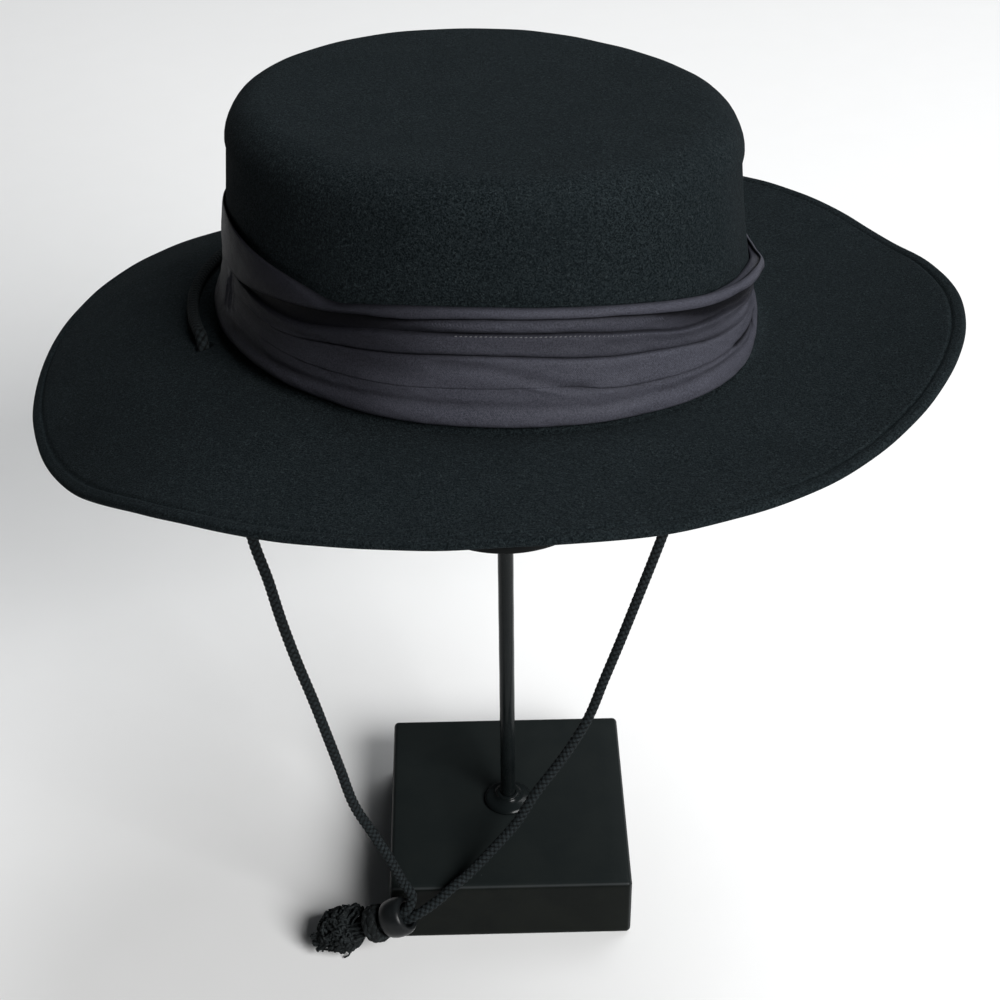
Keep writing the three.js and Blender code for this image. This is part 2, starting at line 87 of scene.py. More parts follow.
# %% [markdown]
# ## Helpers for grids of points
#
# Most pieces are skins: rows of points, each row a ring or a line, joined to the next
# by quads. NumPy works out all the points of a piece at once, which keeps the shapes
# as formulas, and one helper turns them into a smooth mesh that rides on the frame.

# %% Mesh helpers
never_sharp = math.pi


def unit(v):
    return v / np.linalg.norm(v)


def ring_faces(rows, columns, closed_rows=False):
    """Quads between rows of a grid whose rows are closed rings."""
    i = np.arange(rows if closed_rows else rows - 1)[:, None]
    j = np.arange(columns)[None, :]
    nxt, side = (i + 1) % rows, (j + 1) % columns
    return np.stack([i * columns + j, i * columns + side, nxt * columns + side,
                     nxt * columns + j], axis=-1).reshape(-1, 4)


def capped_faces(rows, columns):
    """The same rings, closed at both ends by fans round two points that follow them."""
    first, end = rows * columns, (rows - 1) * columns
    pairs = [(j, (j + 1) % columns) for j in range(columns)]
    return (ring_faces(rows, columns).tolist() + [[first, b, a] for a, b in pairs]
            + [[first + 1, end + a, end + b] for a, b in pairs])


def mesh_piece(name, points, faces, replaced=(), sharp=math.radians(50)):
    """A smooth mesh that rides on the stand."""
    mesh = bpy.data.meshes.new(name)
    mesh.from_pydata(np.asarray(points).tolist(), [], [list(map(int, f)) for f in faces])
    work = bmesh.new()
    work.from_mesh(mesh)
    bmesh.ops.recalc_face_normals(work, faces=work.faces)
    work.to_mesh(mesh)
    work.free()
    mesh.polygons.foreach_set("use_smooth", [True] * len(mesh.polygons))
    mesh.set_sharp_from_angle(angle=sharp)
    piece = placed(name, mesh)
    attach(piece, "root")
    if replaced:
        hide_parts(*replaced)
    print(name, len(mesh.polygons), "faces")
    return piece


def joined(parts):
    """Several (points, faces) parts as the points and faces of one mesh."""
    points, faces, count = [], [], 0
    for part_points, part_faces in parts:
        faces += [[x + count for x in face] for face in part_faces]
        points.append(part_points)
        count += len(part_points)
    return np.concatenate(points), faces


def lay_uv(piece, along, across):
    """Stores two lengths in metres for each vertex as the UV map called cloth."""
    corner = np.zeros(len(piece.data.loops), int)
    piece.data.loops.foreach_get("vertex_index", corner)
    values = np.stack([along[corner], across[corner]], axis=1)
    uv = piece.data.uv_layers.new(name="cloth")
    uv.data.foreach_set("uv", values.astype(np.float32).ravel())


def lay_value(piece, name, values):
    """Stores a number from 0 to 1 on each point, which the piece's finish reads."""
    kept = piece.data.attributes.new(name, "FLOAT", "POINT")
    kept.data.foreach_set("value", np.asarray(values, np.float32).ravel())


# %% [markdown]
# ## The hat's own frame
#
# The hat is measured in a frame of its own: Z up its crown, X to its right, Y to its
# back, and the origin on the brim in the middle of the crown. It sits on the stand
# turned a little to the left, with its front tipped up. What changes round the hat is
# kept in tables by the angle, and a smooth curve is laid through their rows.

# %% From the hat to the stand
hat_turn, hat_tilt = math.radians(19.2), math.radians(10)
hat_place = Vector((-6.2, 0.1, 260.3))
hat_matrix = np.array(Matrix.Translation(hat_place) @ Matrix.Rotation(-hat_tilt, 4, "X")
                      @ Matrix.Rotation(hat_turn, 4, "Z"))
crown_half_width, crown_half_length = 86.0, 101.5
felt_thickness = 2.8


def hat_to_stand(points):
    """Points in millimetres in the hat's frame, as metres on the stand."""
    flat = np.asarray(points, float).reshape(-1, 3)
    return (flat @ hat_matrix[:3, :3].T + hat_matrix[:3, 3]) * mm


def table(columns, *rows):
    """Rows of numbers as one array for each named column."""
    return dict(zip(columns.split(), np.array(rows, float).T))


def catmull(p, q, r, s, f):
    """A smooth value a share f of the way from q to r, with p before and s after."""
    return 0.5 * (2 * q + (r - p) * f + (2 * p - 5 * q + 4 * r - s) * f**2
                  + (3 * q - p - 3 * r + s) * f**3)


def round_the_hat(rows, columns, angle):
    """Smooth values between the rows of a table that goes once round the hat."""
    at = rows["at"]
    turn = np.mod(np.asarray(angle, float), 360.0)
    i = np.searchsorted(at, turn, side="right") - 1
    n = len(at)
    span = np.mod(at[(i + 1) % n] - at[i % n], 360.0)
    f = np.mod(turn - at[i % n], 360.0) / span
    return [catmull(*(rows[name][(i + k) % n] for k in (-1, 0, 1, 2)), f)
            for name in columns.split()]


def beside_crown(angle, outward, height, share=1.0):
    """Points beside the oval that the crown stands on, in the hat's frame."""
    angle, outward, height = np.broadcast_arrays(
        np.radians(angle), np.asarray(outward, float), np.asarray(height, float))
    c, s = np.cos(angle), np.sin(angle)
    nx, ny = crown_half_length * c, crown_half_width * s
    n = np.hypot(nx, ny)
    return np.stack([(crown_half_width * c + outward * nx / n) * share,
                     (crown_half_length * s + outward * ny / n) * share, height], -1)


print("the crown's middle on the stand, m:", hat_to_stand([0, 0, 0])[0].round(4))

# %% [markdown]
# ## Chin cord
#
# The cord is one round braid of black yarn, 4 mm thick. From inside the bead it hangs
# up to the hole on the hat's left, lies on the brim round the back of the crown, and
# comes down from the hole on the right to the bead again. A cord is made from its
# middle line, so its points come first, the same as in the CAD model. Its braid is
# real relief: two families of strands wind round it in opposite directions and pass
# over and under each other, which a formula gives for every point of a fine tube.

# %% The cord's route
cord_diameter = 4.0
cord_stand_off = 8.5                  # from the crown's foot to a cord hole
bead_place = np.array([-43.3, -55.6, 22.8])
bead_axis = unit(np.array([0.81, -0.2, 0.55]))
bead_length = 9.6
in_bead_gap = 0.225                   # from the bead's axis to each of the two cords
left_drop = [
    (-90.0, -31.0, 240), (-88.6, -31.6, 215), (-86.1, -32.3, 188.1), (-82.2, -33.8, 171.6),
    (-78.9, -35.4, 154.8), (-74.8, -37.0, 137.6), (-69.9, -38.8, 119.9),
    (-66.1, -40.4, 105.1), (-61.9, -42.4, 88.8), (-57.6, -44.6, 72.3), (-50.9, -46.8, 58.5),
    (-45.3, -49.2, 47.6), (-41.2, -51.2, 38.2), (-37.6, -54.2, 32.4)]
right_drop = [
    (79.6, 29.0, 235), (76.0, 26.4, 213), (68.6, 21.0, 182), (61.2, 15.2, 159),
    (54.8, 10.1, 141.3), (49.0, 5.7, 125.8), (43.1, 1.3, 110), (36.8, -3.5, 94.3),
    (30.6, -8.3, 78.8), (21.5, -15.2, 66.4), (9.9, -23.9, 54.8), (2.8, -29.3, 45.4),
    (-7.0, -36.6, 38), (-16.0, -43.2, 32.5), (-21.6, -47.6, 30.7), (-28.2, -52.6, 28.0)]
edge_rise = {"at": np.arange(0, 360, 15.0), "rise": np.array([
    2.8, 4.5, 4.0, 0.4, -4.9, -10.7, -15.7, -18.7, -18.0, -19.0, -23.6, -28.0,
    -28.6, -23.4, -13.4, -7.4, -3.6, -0.6, -0.5, 1.6, 6.3, 10.1, 10.4, 6.7])}
brim_width, junction_radius = 64.0, 4.0
brim_bend = 1.5                       # power of the brim's sweep from crown to edge
hole_share = (cord_stand_off - junction_radius) / (brim_width - junction_radius)


def brim_height(angle, share):
    """Height of the brim's upper side at a share of its sweep from crown to edge."""
    return round_the_hat(edge_rise, "rise", angle)[0] * share**brim_bend


def by_hole(side, height, back=0.0):
    """A point by the cord hole on a side, in the hat's frame."""
    reach = crown_half_width + cord_stand_off
    rise = float(brim_height(0 if side > 0 else 180, hole_share))
    return [side * reach, back, rise + height]


def in_bead(side, along):
    """A point on the cord's line inside the bead, in metres on the stand."""
    beside = np.cross([0, 1, 0], bead_axis)
    beside *= side * (cord_diameter / 2 + in_bead_gap) / np.linalg.norm(beside)
    return (bead_place + bead_axis * along + beside) * mm


bend = [(0, 0.05), (1.6, 0.9), (2.9, 2.8), (3.2, 6.0)]   # height, towards the back
round_back = [by_hole(-1, h, b) for h, b in bend]
for at in range(170, 9, -10):
    lie = brim_height(at, hole_share) + cord_diameter / 2 + 0.6
    round_back.append(beside_crown(at, cord_stand_off, lie).tolist())
round_back += [by_hole(1, h, b) for h, b in reversed(bend)]
under_left, under_right = (hat_to_stand([by_hole(side, -0.5 * felt_thickness),
                                         by_hole(side, -felt_thickness - 1.5)])
                           for side in (-1, 1))
bead_in, bead_out = 0.6 - bead_length / 2, 1 + bead_length / 2
chin_cord_route = np.concatenate([
    [in_bead(-1, bead_in), in_bead(-1, bead_out)], np.array(left_drop[::-1]) * mm,
    under_left[::-1], hat_to_stand(round_back), under_right, np.array(right_drop) * mm,
    [in_bead(1, bead_out), in_bead(1, bead_in)]])
print("points in the cord's route:", len(chin_cord_route))


# %% A smooth line of even steps
def smooth_line(points, step):
    """A centripetal Catmull-Rom curve through points, as points a step apart."""
    p = np.asarray(points, float)
    p = np.concatenate([[2 * p[0] - p[1]], p, [2 * p[-1] - p[-2]]])
    knot = np.concatenate([[0], np.cumsum(np.linalg.norm(np.diff(p, axis=0), axis=1) ** 0.5)])
    fine = []
    for i in range(1, len(p) - 2):
        t = np.linspace(knot[i], knot[i + 1], 24, endpoint=False)[:, None]
        k, level = knot[i - 1:i + 3], p[i - 1:i + 3]
        for pairs in (((0, 1), (1, 2), (2, 3)), ((0, 2), (1, 3)), ((1, 2),)):
            level = [((k[b] - t) * level[j] + (t - k[a]) * level[j + 1]) / (k[b] - k[a])
                     for j, (a, b) in enumerate(pairs)]
        fine.append(level[0])
    fine = np.concatenate(fine + [p[-2:-1]])
    run = np.concatenate([[0], np.cumsum(np.linalg.norm(np.diff(fine, axis=0), axis=1))])
    at = np.linspace(0, run[-1], int(round(run[-1] / step)) + 1)
    return np.stack([np.interp(at, run, fine[:, k]) for k in range(3)], 1), at


def carried_frames(line):
    """Two directions across a line at each point, carried along without twist."""
    ahead = np.gradient(line, axis=0)
    ahead /= np.linalg.norm(ahead, axis=1)[:, None]
    across = np.zeros_like(line)
    across[0] = unit(np.cross(ahead[0], [0.0, 0.0, 1.0]))
    for i in range(1, len(line)):
        across[i] = unit(across[i - 1] - ahead[i] * across[i - 1].dot(ahead[i]))
    return across, np.cross(ahead, across)


def tube_skin(line, radius, sides):
    """Rings of points round a line, at a radius for each point or ring."""
    across, over = carried_frames(line)
    turn = np.arange(sides) * 2 * math.pi / sides
    return (line[:, None] + across[:, None] * (radius * np.cos(turn))[..., None]
            + over[:, None] * (radius * np.sin(turn))[..., None])


def braid_relief(along, turn, strands, pitch):
    """0 in the gaps of a round braid to 1 on the backs of its strands."""
    one = turn * strands / (2 * math.pi) + along / pitch
    other = turn * strands / (2 * math.pi) - along / pitch
    over = (np.floor(one) + np.floor(other)) % 2 < 0.5
    across_strand = np.where(over, one, other) % 1.0
    along_strand = np.where(over, other, one) % 1.0
    back = np.sqrt(np.clip(1 - (2 * across_strand - 1) ** 2, 0, 1))
    dive = np.sqrt(np.clip(1 - 0.75 * (2 * along_strand - 1) ** 2, 0, 1))
    return back * dive


def braided_tube(route, step, diameter, sides, strands, pitch, relief):
    """Points, faces, UV lengths and gaps of a closed braided tube, and its line."""
    line, run = smooth_line(route, step)
    turn = np.arange(sides) * 2 * math.pi / sides
    lift = braid_relief(run[:, None], turn[None, :], strands, pitch)
    skin = tube_skin(line, diameter / 2 - relief * (1 - lift), sides)
    points = np.concatenate([skin.reshape(-1, 3), line[:1], line[-1:]])
    uv_along = np.concatenate([np.repeat(run, sides), run[[0, -1]]])
    uv_round = np.concatenate([np.tile(turn, len(line)) * diameter / 2, [0, 0]])
    gaps = np.concatenate([(1 - lift).ravel(), [1, 1]])
    return points, capped_faces(len(line), sides), uv_along, uv_round, gaps, line, run


# %% The cord
points, faces, along, around, gaps, chin_cord_line, chin_cord_run = braided_tube(
    chin_cord_route, 0.36 * mm, cord_diameter * mm, sides=28, strands=4, pitch=2.2 * mm,
    relief=0.42 * mm)
chin_cord = mesh_piece("chin_cord", points, faces,
                       ["chin_cord_back", "chin_cord_left", "chin_cord_right"], never_sharp)
lay_uv(chin_cord, along, around)
# The braid's gaps are stored as depth; the cord's finish paints shade there.
lay_value(chin_cord, "depth", gaps)
print("chin cord", round(chin_cord_run[-1], 3), "m long")

# %% [markdown]
# ## Felt body
#
# Crown and brim are one piece of wool felt pressed over a block, nearly 3 mm thick, so
# the hat is a hollow shell and not a solid. A revolved profile would be quick, but the
# crown is an oval and the brim waves, so rings of points go down from the crown's top
# over its shoulder and wall and out to the edge. The same rings one thickness below
# make the inside. A faint line is pressed into the brim near its edge, and the tight
# band draws the wall in a little at its gather on the left and its tack on the right.

# %% Outer skin of the felt
crown_height, shoulder_radius, top_rise = 70.6, 13.0, 1.0
crown_lean = 5.8                      # how far the wall comes in from foot to shoulder
pressed_line_inset, pressed_line_depth, pressed_line_width = 4.0, 0.55, 0.55
felt_angles = np.arange(300) * 360 / 300
shoulder_foot = crown_height - shoulder_radius
top_inset = crown_lean + shoulder_radius
hand_of_felt = [                      # waves: a vector in space, phase and size
    (0.052, 0.031, 0.02, 0.4, 0.22), (-0.03, 0.058, 0.04, 2.1, 0.2),
    (0.1, -0.07, 0.09, 1.2, 0.1), (0.02, 0.13, -0.11, 3.3, 0.09),
    (0.23, 0.11, 0.17, 5.0, 0.045), (-0.17, 0.26, 0.21, 0.9, 0.045)]
pulls = [                             # angle, half width, heights and how far in there
    (172, 22.0, [0, 5, 10, 16, 25, 42, 60], [0, 0.3, 2.2, 2.7, 1.9, 1.4, 0.5]),
    (330, 22.0, [0, 15, 24, 34, 60], [0, 0.3, 1.2, 1.3, 0.4]),
    (328, 15.0, [0, 3, 8, 13, 20], [0, 1.1, 2.1, 1.8, 0.4])]


def drawn_in(angle, height):
    """How far the tight band pulls the crown's wall in, at the gather and the tack."""
    return sum(np.exp(-((angle - at) / width) ** 2) * np.interp(height, heights, sizes)
               for at, width, heights, sizes in pulls)


def felt_outside():
    """Rings of points from the crown's top down its wall and out to the brim's edge."""
    rows = []
    for share in np.linspace(0, 1, 16)[1:-1]:
        rows.append((-top_inset, crown_height + top_rise * (1 - share**2), share))
    for q in np.radians(np.linspace(90, 0, 13)):
        rows.append((-(top_inset - shoulder_radius * math.cos(q)),
                     shoulder_foot + shoulder_radius * math.sin(q)))
    for share in np.linspace(1, 0, 19)[1:]:
        height = junction_radius + (shoulder_foot - junction_radius) * share
        rows.append((-crown_lean * share - drawn_in(felt_angles, height), height))
    for q in np.radians(np.linspace(0, 90, 7)[1:]):
        rows.append((junction_radius * (1 - math.cos(q)), junction_radius * (1 - math.sin(q))))
    sweep = brim_width - junction_radius
    edge, line = 1 - felt_thickness / 2 / sweep, 1 - pressed_line_inset / sweep
    for share in np.concatenate([np.linspace(0, line - 0.06, 26)[1:],
                                 np.linspace(line - 0.05, edge, 16)]):
        away = (share - line) * sweep / pressed_line_width
        rows.append((junction_radius + sweep * share, brim_height(felt_angles, share)
                     - pressed_line_depth * math.exp(-away**2)))
    return np.array([beside_crown(felt_angles, *row) for row in rows])


def grid_normals(grid):
    """Unit normals of a grid of rings, pointing out of the hat."""
    along = np.roll(grid, -1, 1) - np.roll(grid, 1, 1)
    normal = np.cross(np.gradient(grid, axis=0), along)
    return normal / np.linalg.norm(normal, axis=2)[..., None]


outer = felt_outside()
outward = grid_normals(outer)
unevenness = sum(size * np.sin(outer @ np.array([x, y, z]) + phase)
                 for x, y, z, phase, size in hand_of_felt)
outer = outer + outward * unevenness[..., None]
print("felt: outer rings", outer.shape[:2])

# %% The felt's edge, its inside and its two cord holes
half = felt_thickness / 2
edge_out = np.cross(np.roll(outer[-1], -1, 0) - np.roll(outer[-1], 1, 0), outward[-1])
edge_out /= np.linalg.norm(edge_out, axis=1)[:, None]
edge_out *= np.sign((edge_out * outer[-1]).sum(1))[:, None]
rim = [outer[-1] - outward[-1] * half * (1 - math.cos(q)) + edge_out * half * math.sin(q)
       for q in np.radians([25, 50, 75, 105, 130, 155])]
inner = (outer - outward * felt_thickness)[::-2]
crown_top = np.array([[0, 0, crown_height + top_rise]])
rings = np.concatenate([outer, np.array(rim), inner])
felt_points = np.concatenate([rings.reshape(-1, 3), crown_top,
                              crown_top - [[0, 0, felt_thickness]]])
felt_body = mesh_piece("felt_body", hat_to_stand(felt_points),
                       capped_faces(len(rings), len(felt_angles)), ["felt_body"])
cord_hole_diameter, punch_length = 6.6, 20


def punch(piece, place, diameter, depth):
    """Cuts a round hole along the hat's own Z axis, at a place in its frame."""
    cutter_mesh = bpy.data.meshes.new("punch")
    work = bmesh.new()
    bmesh.ops.create_cone(work, cap_ends=True, segments=40, radius1=diameter * mm / 2,
                          radius2=diameter * mm / 2, depth=depth * mm)
    work.to_mesh(cutter_mesh)
    work.free()
    cutter = placed("punch", cutter_mesh)
    turned_up = Matrix(hat_matrix.tolist()).to_3x3().to_4x4()
    cutter.matrix_world = Matrix.Translation(Vector(hat_to_stand(place)[0])) @ turned_up
    hole = piece.modifiers.new("hole", "BOOLEAN")
    hole.object, hole.operation, hole.solver = cutter, "DIFFERENCE", "EXACT"
    bpy.context.view_layer.update()
    evaluated = piece.evaluated_get(bpy.context.evaluated_depsgraph_get())
    cut_mesh = bpy.data.meshes.new_from_object(evaluated)
    piece.modifiers.clear()
    piece.data = cut_mesh
    bpy.data.objects.remove(cutter)


for side in (1, -1):
    punch(felt_body, by_hole(side, -felt_thickness / 2), cord_hole_diameter, punch_length)
print("felt body with its holes:", len(felt_body.data.polygons), "faces")

# %% [markdown]
# ## Band
#
# A long strip of satin is drawn round the crown's foot in loose pleats. Its lower edge
# is a soft roll, three folds lie over each other above it, one of them with a row of
# small stitches along its upper edge, and a thin roll closes the top. On the left the
# top roll widens into a strip that climbs round the crown, over gathers of the folds
# below. A cloth simulation gives pleats that nobody asked for, so the heights of the
# creases were read off the photograph into a table that goes round the hat, and at
# each angle one smooth line of points goes up over the folds, down into each crease
# and out under the lip of the next fold.

# %% Heights of the band's creases round the hat
# millimetres above the brim: foot, bottom roll's line, lower crease, wide crease,
# stitched seam, upper crease, top. full: how thick it is, tuck: how deep the folds
# lie under the strip, hollow: how deep the recess under the roll is, flare: how far
# the top stands off
band_lines = table(
    "at foot roll low wide seam upper top full tuck hollow flare",
    (0, 2.2, 6.5, 9.6, 14, 18, 21.6, 25, 0.45, 0, 0, 0),
    (40, 2.2, 6, 9.5, 14.5, 20, 25, 30, 0.55, 0, 0, 0),
    (90, 2.2, 6, 9.5, 15, 21, 27, 32, 0.6, 0, 0, 0),
    (140, 2.4, 6.5, 11, 16, 21.5, 26, 33.5, 0.4, 0, 0, 0),
    (168, 2.8, 8, 14, 18.8, 22.6, 24.2, 37.4, 0.36, 0, 0, 0),
    (182, 3.4, 8, 14, 19.2, 23.9, 24.8, 37.6, 0.56, 0.35, 0, 0),
    (190, 3.8, 8.2, 13.6, 19, 23.8, 26.3, 37.2, 0.72, 0.85, 0, 0),
    (200, 3.6, 8.2, 12.9, 18.6, 22.7, 28.2, 36.2, 0.86, 1, 0, 0),
    (208, 3.3, 8, 12.6, 19, 22.9, 29.7, 35.1, 0.94, 1, 0, 0),
    (217, 3, 8, 12.4, 20.6, 24.8, 31.0, 32.9, 0.98, 1, 0, 0),
    (224, 2.6, 8.2, 12.5, 21.4, 26.9, 32.2, 34.4, 1, 0.75, 0, 0),
    (232, 2.4, 8.5, 12.9, 22.4, 28.2, 32.9, 36, 1, 0.35, 0, 0),
    (240, 2.5, 8.8, 13.6, 23.5, 29.1, 34.1, 37, 1, 0.1, 0, 0),
    (248, 2.6, 8.9, 14, 23.8, 29.5, 34.6, 37.4, 1, 0, 0, 0),
    (256, 2.6, 8.4, 14.2, 23.3, 29.3, 34.4, 37.1, 1, 0, 0, 0),
    (263, 2.5, 7.8, 13.7, 22.4, 28.9, 34, 36.6, 1, 0, 0, 0.05),
    (271, 2.2, 7.3, 12.4, 21.3, 27.7, 33.3, 35.8, 0.98, 0, 0.1, 0.2),
    (279, 2, 7.4, 11.8, 20.3, 26, 31.8, 34.4, 0.95, 0, 0.25, 0.4),
    (287, 1.7, 7.2, 11.2, 18.9, 23.6, 30, 32.8, 0.9, 0, 0.5, 0.9),
    (295, 1.6, 7.6, 10.8, 17.3, 22.6, 28.5, 31.2, 0.85, 0, 0.8, 1.5),
    (303, 1.7, 7.6, 10.9, 16.2, 21.9, 27.7, 30, 0.78, 0, 1, 2.1),
    (310, 2.1, 7.1, 10.9, 15.4, 20.2, 26.5, 28.8, 0.68, 0, 1, 2.8),
    (317, 2.9, 6.8, 10.9, 15.3, 19, 25.6, 27.9, 0.5, 0, 1, 3.4),
    (324, 3.3, 6.4, 9.9, 13.8, 17.4, 23.6, 26, 0.4, 0, 0.95, 3.5),
    (331, 3.2, 6, 9, 12.3, 15.8, 20.2, 23.5, 0.36, 0, 0.8, 2.6),
    (338, 2.9, 5.8, 8.7, 11.8, 15, 18.6, 21.6, 0.37, 0, 0.4, 1.3),
    (347, 1.8, 5.6, 8.8, 12.4, 15.8, 19, 22, 0.42, 0, 0, 0.2))
# how sharp the low, wide and stitched creases are round the hat, and the pale fold's lip
crease_depths = table(
    "at low wide seam lip",
    (0, 0.2, 0.3, 0.4, 0), (90, 0.35, 0.5, 0.5, 0), (165, 0, 0.1, 0.3, 0),
    (205, 0, 0, 0.6, 0), (213, 0.05, 0.35, 0.8, 0), (220, 0.02, 0.9, 1, 0),
    (230, 0.02, 1, 1, 0), (250, 0.02, 1.1, 1, 0), (258, 0.03, 1.1, 1, 0.1),
    (266, 0.4, 1, 0.9, 0.5), (275, 0.9, 0.95, 0.7, 1), (288, 0.9, 0.8, 0.7, 1),
    (298, 1.1, 0.6, 0.6, 1), (304, 1.7, 0.4, 0.4, 0.8), (309, 2, 0.3, 0.2, 0.3),
    (314, 2, 0.1, 0, 0), (318, 0.3, 0, 0, 0), (335, 0, 0.1, 0.2, 0))
band_angles = np.concatenate([          # finer at the gather and at the tack
    np.arange(0, 176, 0.8), np.arange(176, 200, 0.2), np.arange(200, 296, 0.42),
    np.arange(296, 324, 0.25), np.arange(324, 360, 0.6)])
print("rows in the band's table:", len(band_lines["at"]))


# %% One line of points up over the folds
def wall_outward(angle, height):
    """How far the crown's wall stands from its foot's oval at a height."""
    rest = np.clip(junction_radius - height, 0, junction_radius)
    foot = junction_radius - np.sqrt(junction_radius**2 - rest**2)
    lean = crown_lean * (height - junction_radius) / (shoulder_foot - junction_radius)
    return np.where(height < junction_radius, foot, -lean) - drawn_in(angle, height)


def mix(first, second, share):
    return first + (second - first) * share


def band_profile(angle):
    """Heights and distances off the wall of the band's outside, from foot to top."""
    foot, roll, low, wide, seam, upper, top, full, tuck, hollow, flare = round_the_hat(
        band_lines, "foot roll low wide seam upper top full tuck hollow flare", angle)
    deep_low, deep_wide, deep_seam, lip = round_the_hat(
        crease_depths, "low wide seam lip", angle)
    strip = np.clip((top - upper - 4) / 8, 0, 1)      # 1 where the roll is a wide strip
    under = np.clip(np.maximum(tuck, hollow), 0, 1)   # where the cloth dives under the roll
    floor = 0.8 / full                                # the bottom of that recess
    turn_in = np.minimum(deep_low, 1)
    filled = np.clip(flare / 3, 0, 1)                 # how far cloth fills the gap behind it
    fold = mix(3.8, 3.5, tuck)
    points = [                                        # height, distance off, share of flare
        (foot + 0.9, 0.5 / full, 0), (foot + 0.1, 1.1, 0), (foot - 0.15, 2.4, 0),
        (foot + 0.45, 3.75, 0), (foot + 1.7, 4.35, 0), (mix(foot, roll, 0.62), 4.3, 0),
        (roll, 3.35, 0), (mix(roll, low, 0.4), 3.9, 0),
        (low - 1.3, 3.95, 0), (low - 0.35, 3.95 - 0.55 * deep_low, 0),
        (low + 0.1, 3.95 - 1.45 * deep_low, 0),
        (low + mix(0.35, -0.15, turn_in), 3.95 - 0.1 * turn_in, 0),
        (low + 0.75, 4.05 + 0.3 * turn_in, 0), (mix(low, wide, 0.5), mix(4.1, 3.7, tuck), 0),
        (wide - 1.7, mix(3.9, 3.5, tuck), 0), (wide - 0.6, fold - 0.5 * deep_wide, 0),
        (wide - 0.05, fold - 2.1 * deep_wide, 0),
        (wide + mix(0.35, 0.1, deep_wide), 3.75 - 0.65 * deep_wide, 0),
        (wide + 1.3, mix(3.75, 3.5, tuck), 0),
        (mix(wide, seam, 0.55), 3.55, 0), (seam - 0.75, 3.35 + 0.6 * lip, 0),
        (seam - 0.15, 3.3 - 0.6 * deep_seam + 0.8 * lip, 0),
        (seam + 0.2, mix(3.4 - 2.0 * deep_seam, floor + 1.0, under), 0),
        (seam + 0.6, mix(3.4 - 1.0 * deep_seam, floor + 0.3, under), 0),
        (seam + 1.8, mix(3.6, floor, under), 0),
        (mix(seam, upper, 0.62), mix(3.9, floor, under), 0),
        (upper - 0.8, mix(3.2, floor, under), 0), (upper - 0.1, mix(2.2, floor, under), 0),
        (upper + 0.25, mix(1.5, floor + 0.8, under), 0.35 * under),
        (upper - 0.1 - 0.3 * under, 3.35 + 0.9 * tuck, 1),
        (upper + 0.55, 4.15 + 0.8 * tuck, 1),
        (mix(upper, top, mix(0.55, 0.35, strip)), 4.2 + 0.5 * tuck, 1),
        (mix(top - 0.5, top - 3, strip), 3.7 + 0.2 * tuck, 1), (top - 0.15, 2.9, 1),
        (top, 1.9, 1), (top - 0.45, 1.1, 1), (top - mix(1.3, 0.7, filled), 0.5 / full, 0.9)]
    heights = np.array([height for height, _, _ in points])
    offs = np.array([full * off + share * flare for _, off, share in points])
    return heights, offs


steps_a_point = 3                     # rows of the mesh for each point of the profile


def through(values):
    """A Catmull-Rom curve up the rows of control values."""
    padded = np.concatenate([values[:1], values, values[-1:]])
    rows = [catmull(*padded[i - 1:i + 3], f) for i in range(1, len(padded) - 2)
            for f in np.arange(steps_a_point) / steps_a_point]
    return np.array(rows + [values[-1]])


H, band_off_rows = (through(values) for values in band_profile(band_angles))
A = np.broadcast_to(band_angles, H.shape)
print("points up the band's outside:", len(H))


# %% Gathers, the tack on the right and the hand of the cloth
def ridge(path, width, size):
    """A soft ridge up a path of (angle, height) points, fading at its ends."""
    path = np.array(path, float)
    order = np.argsort(path[:, 1])
    at = np.interp(H, path[order, 1], path[order, 0])
    low, high = path[:, 1].min(), path[:, 1].max()
    inside = np.clip((H - low + 1) / 2, 0, 1) * np.clip((high + 1 - H) / 2, 0, 1)
    return size * inside * np.exp(-((A - at) / width) ** 2)


def crease(path, width, size):
    """A soft crease or ridge along a path that runs round the hat, in millimetres."""
    path = np.array(path, float)
    at = np.interp(A, path[:, 0], path[:, 1])
    inside = np.clip((A - path[0, 0]) / 3, 0, 1) * np.clip((path[-1, 0] - A) / 3, 0, 1)
    return size * inside * np.exp(-((H - at) / width) ** 2)


band_radius = 94                      # its mean, which turns degrees into millimetres
tack_hole = np.exp(-((A - 319.8) / 1.2) ** 2 - ((H - 8.8) / 1.7) ** 2)
slit = crease([(302, 10.8), (305.8, 10.5), (309, 10.5), (312, 10.5), (315, 10.5),
               (320, 10)], 0.8, 1.0)
shift = np.zeros_like(H)
for form, path, width, size in (
        (ridge, [(176.6, 10), (176.8, 14), (177.6, 18), (180.2, 23)], 0.55, 0.95),
        (ridge, [(180.2, 11), (180.1, 16), (181.0, 23)], 0.5, 0.8),
        (ridge, [(183.6, 13), (183.0, 17), (182.6, 23.5)], 0.7, 0.35),
        (ridge, [(178.5, 11), (178.4, 16), (179.6, 22)], 0.7, -0.6),
        (ridge, [(181.8, 12), (181.7, 17), (182.0, 23)], 0.6, -0.5),
        (ridge, [(174.6, 7), (174.9, 14), (176.8, 21)], 1.1, -0.5),
        (crease, [(174, 10), (177, 10.2), (181, 9.6), (185.6, 10.4), (191, 10.6)], 0.55, 0.5),
        (crease, [(236, 20.6), (241, 20.4), (246, 20.1), (250, 19.3), (253.6, 17.8),
                  (256.4, 16.5), (261, 14.6), (268, 13)], 1.3, -0.9),
        (crease, [(251, 17), (256, 14.2), (262, 11.8), (274, 10.8)], 0.8, 0.25),
        (crease, [(290, 19.6), (301, 18.2), (308, 17.8), (316, 17.8)], 1.0, 0.5),
        (ridge, [(322.5, 10), (322.5, 13), (323, 17)], 1.3, 0.8)):
    shift = shift + form(path, width, size)
shift = shift - 1.2 * tack_hole - 0.6 * slit
run_mm = np.radians(A) * band_radius
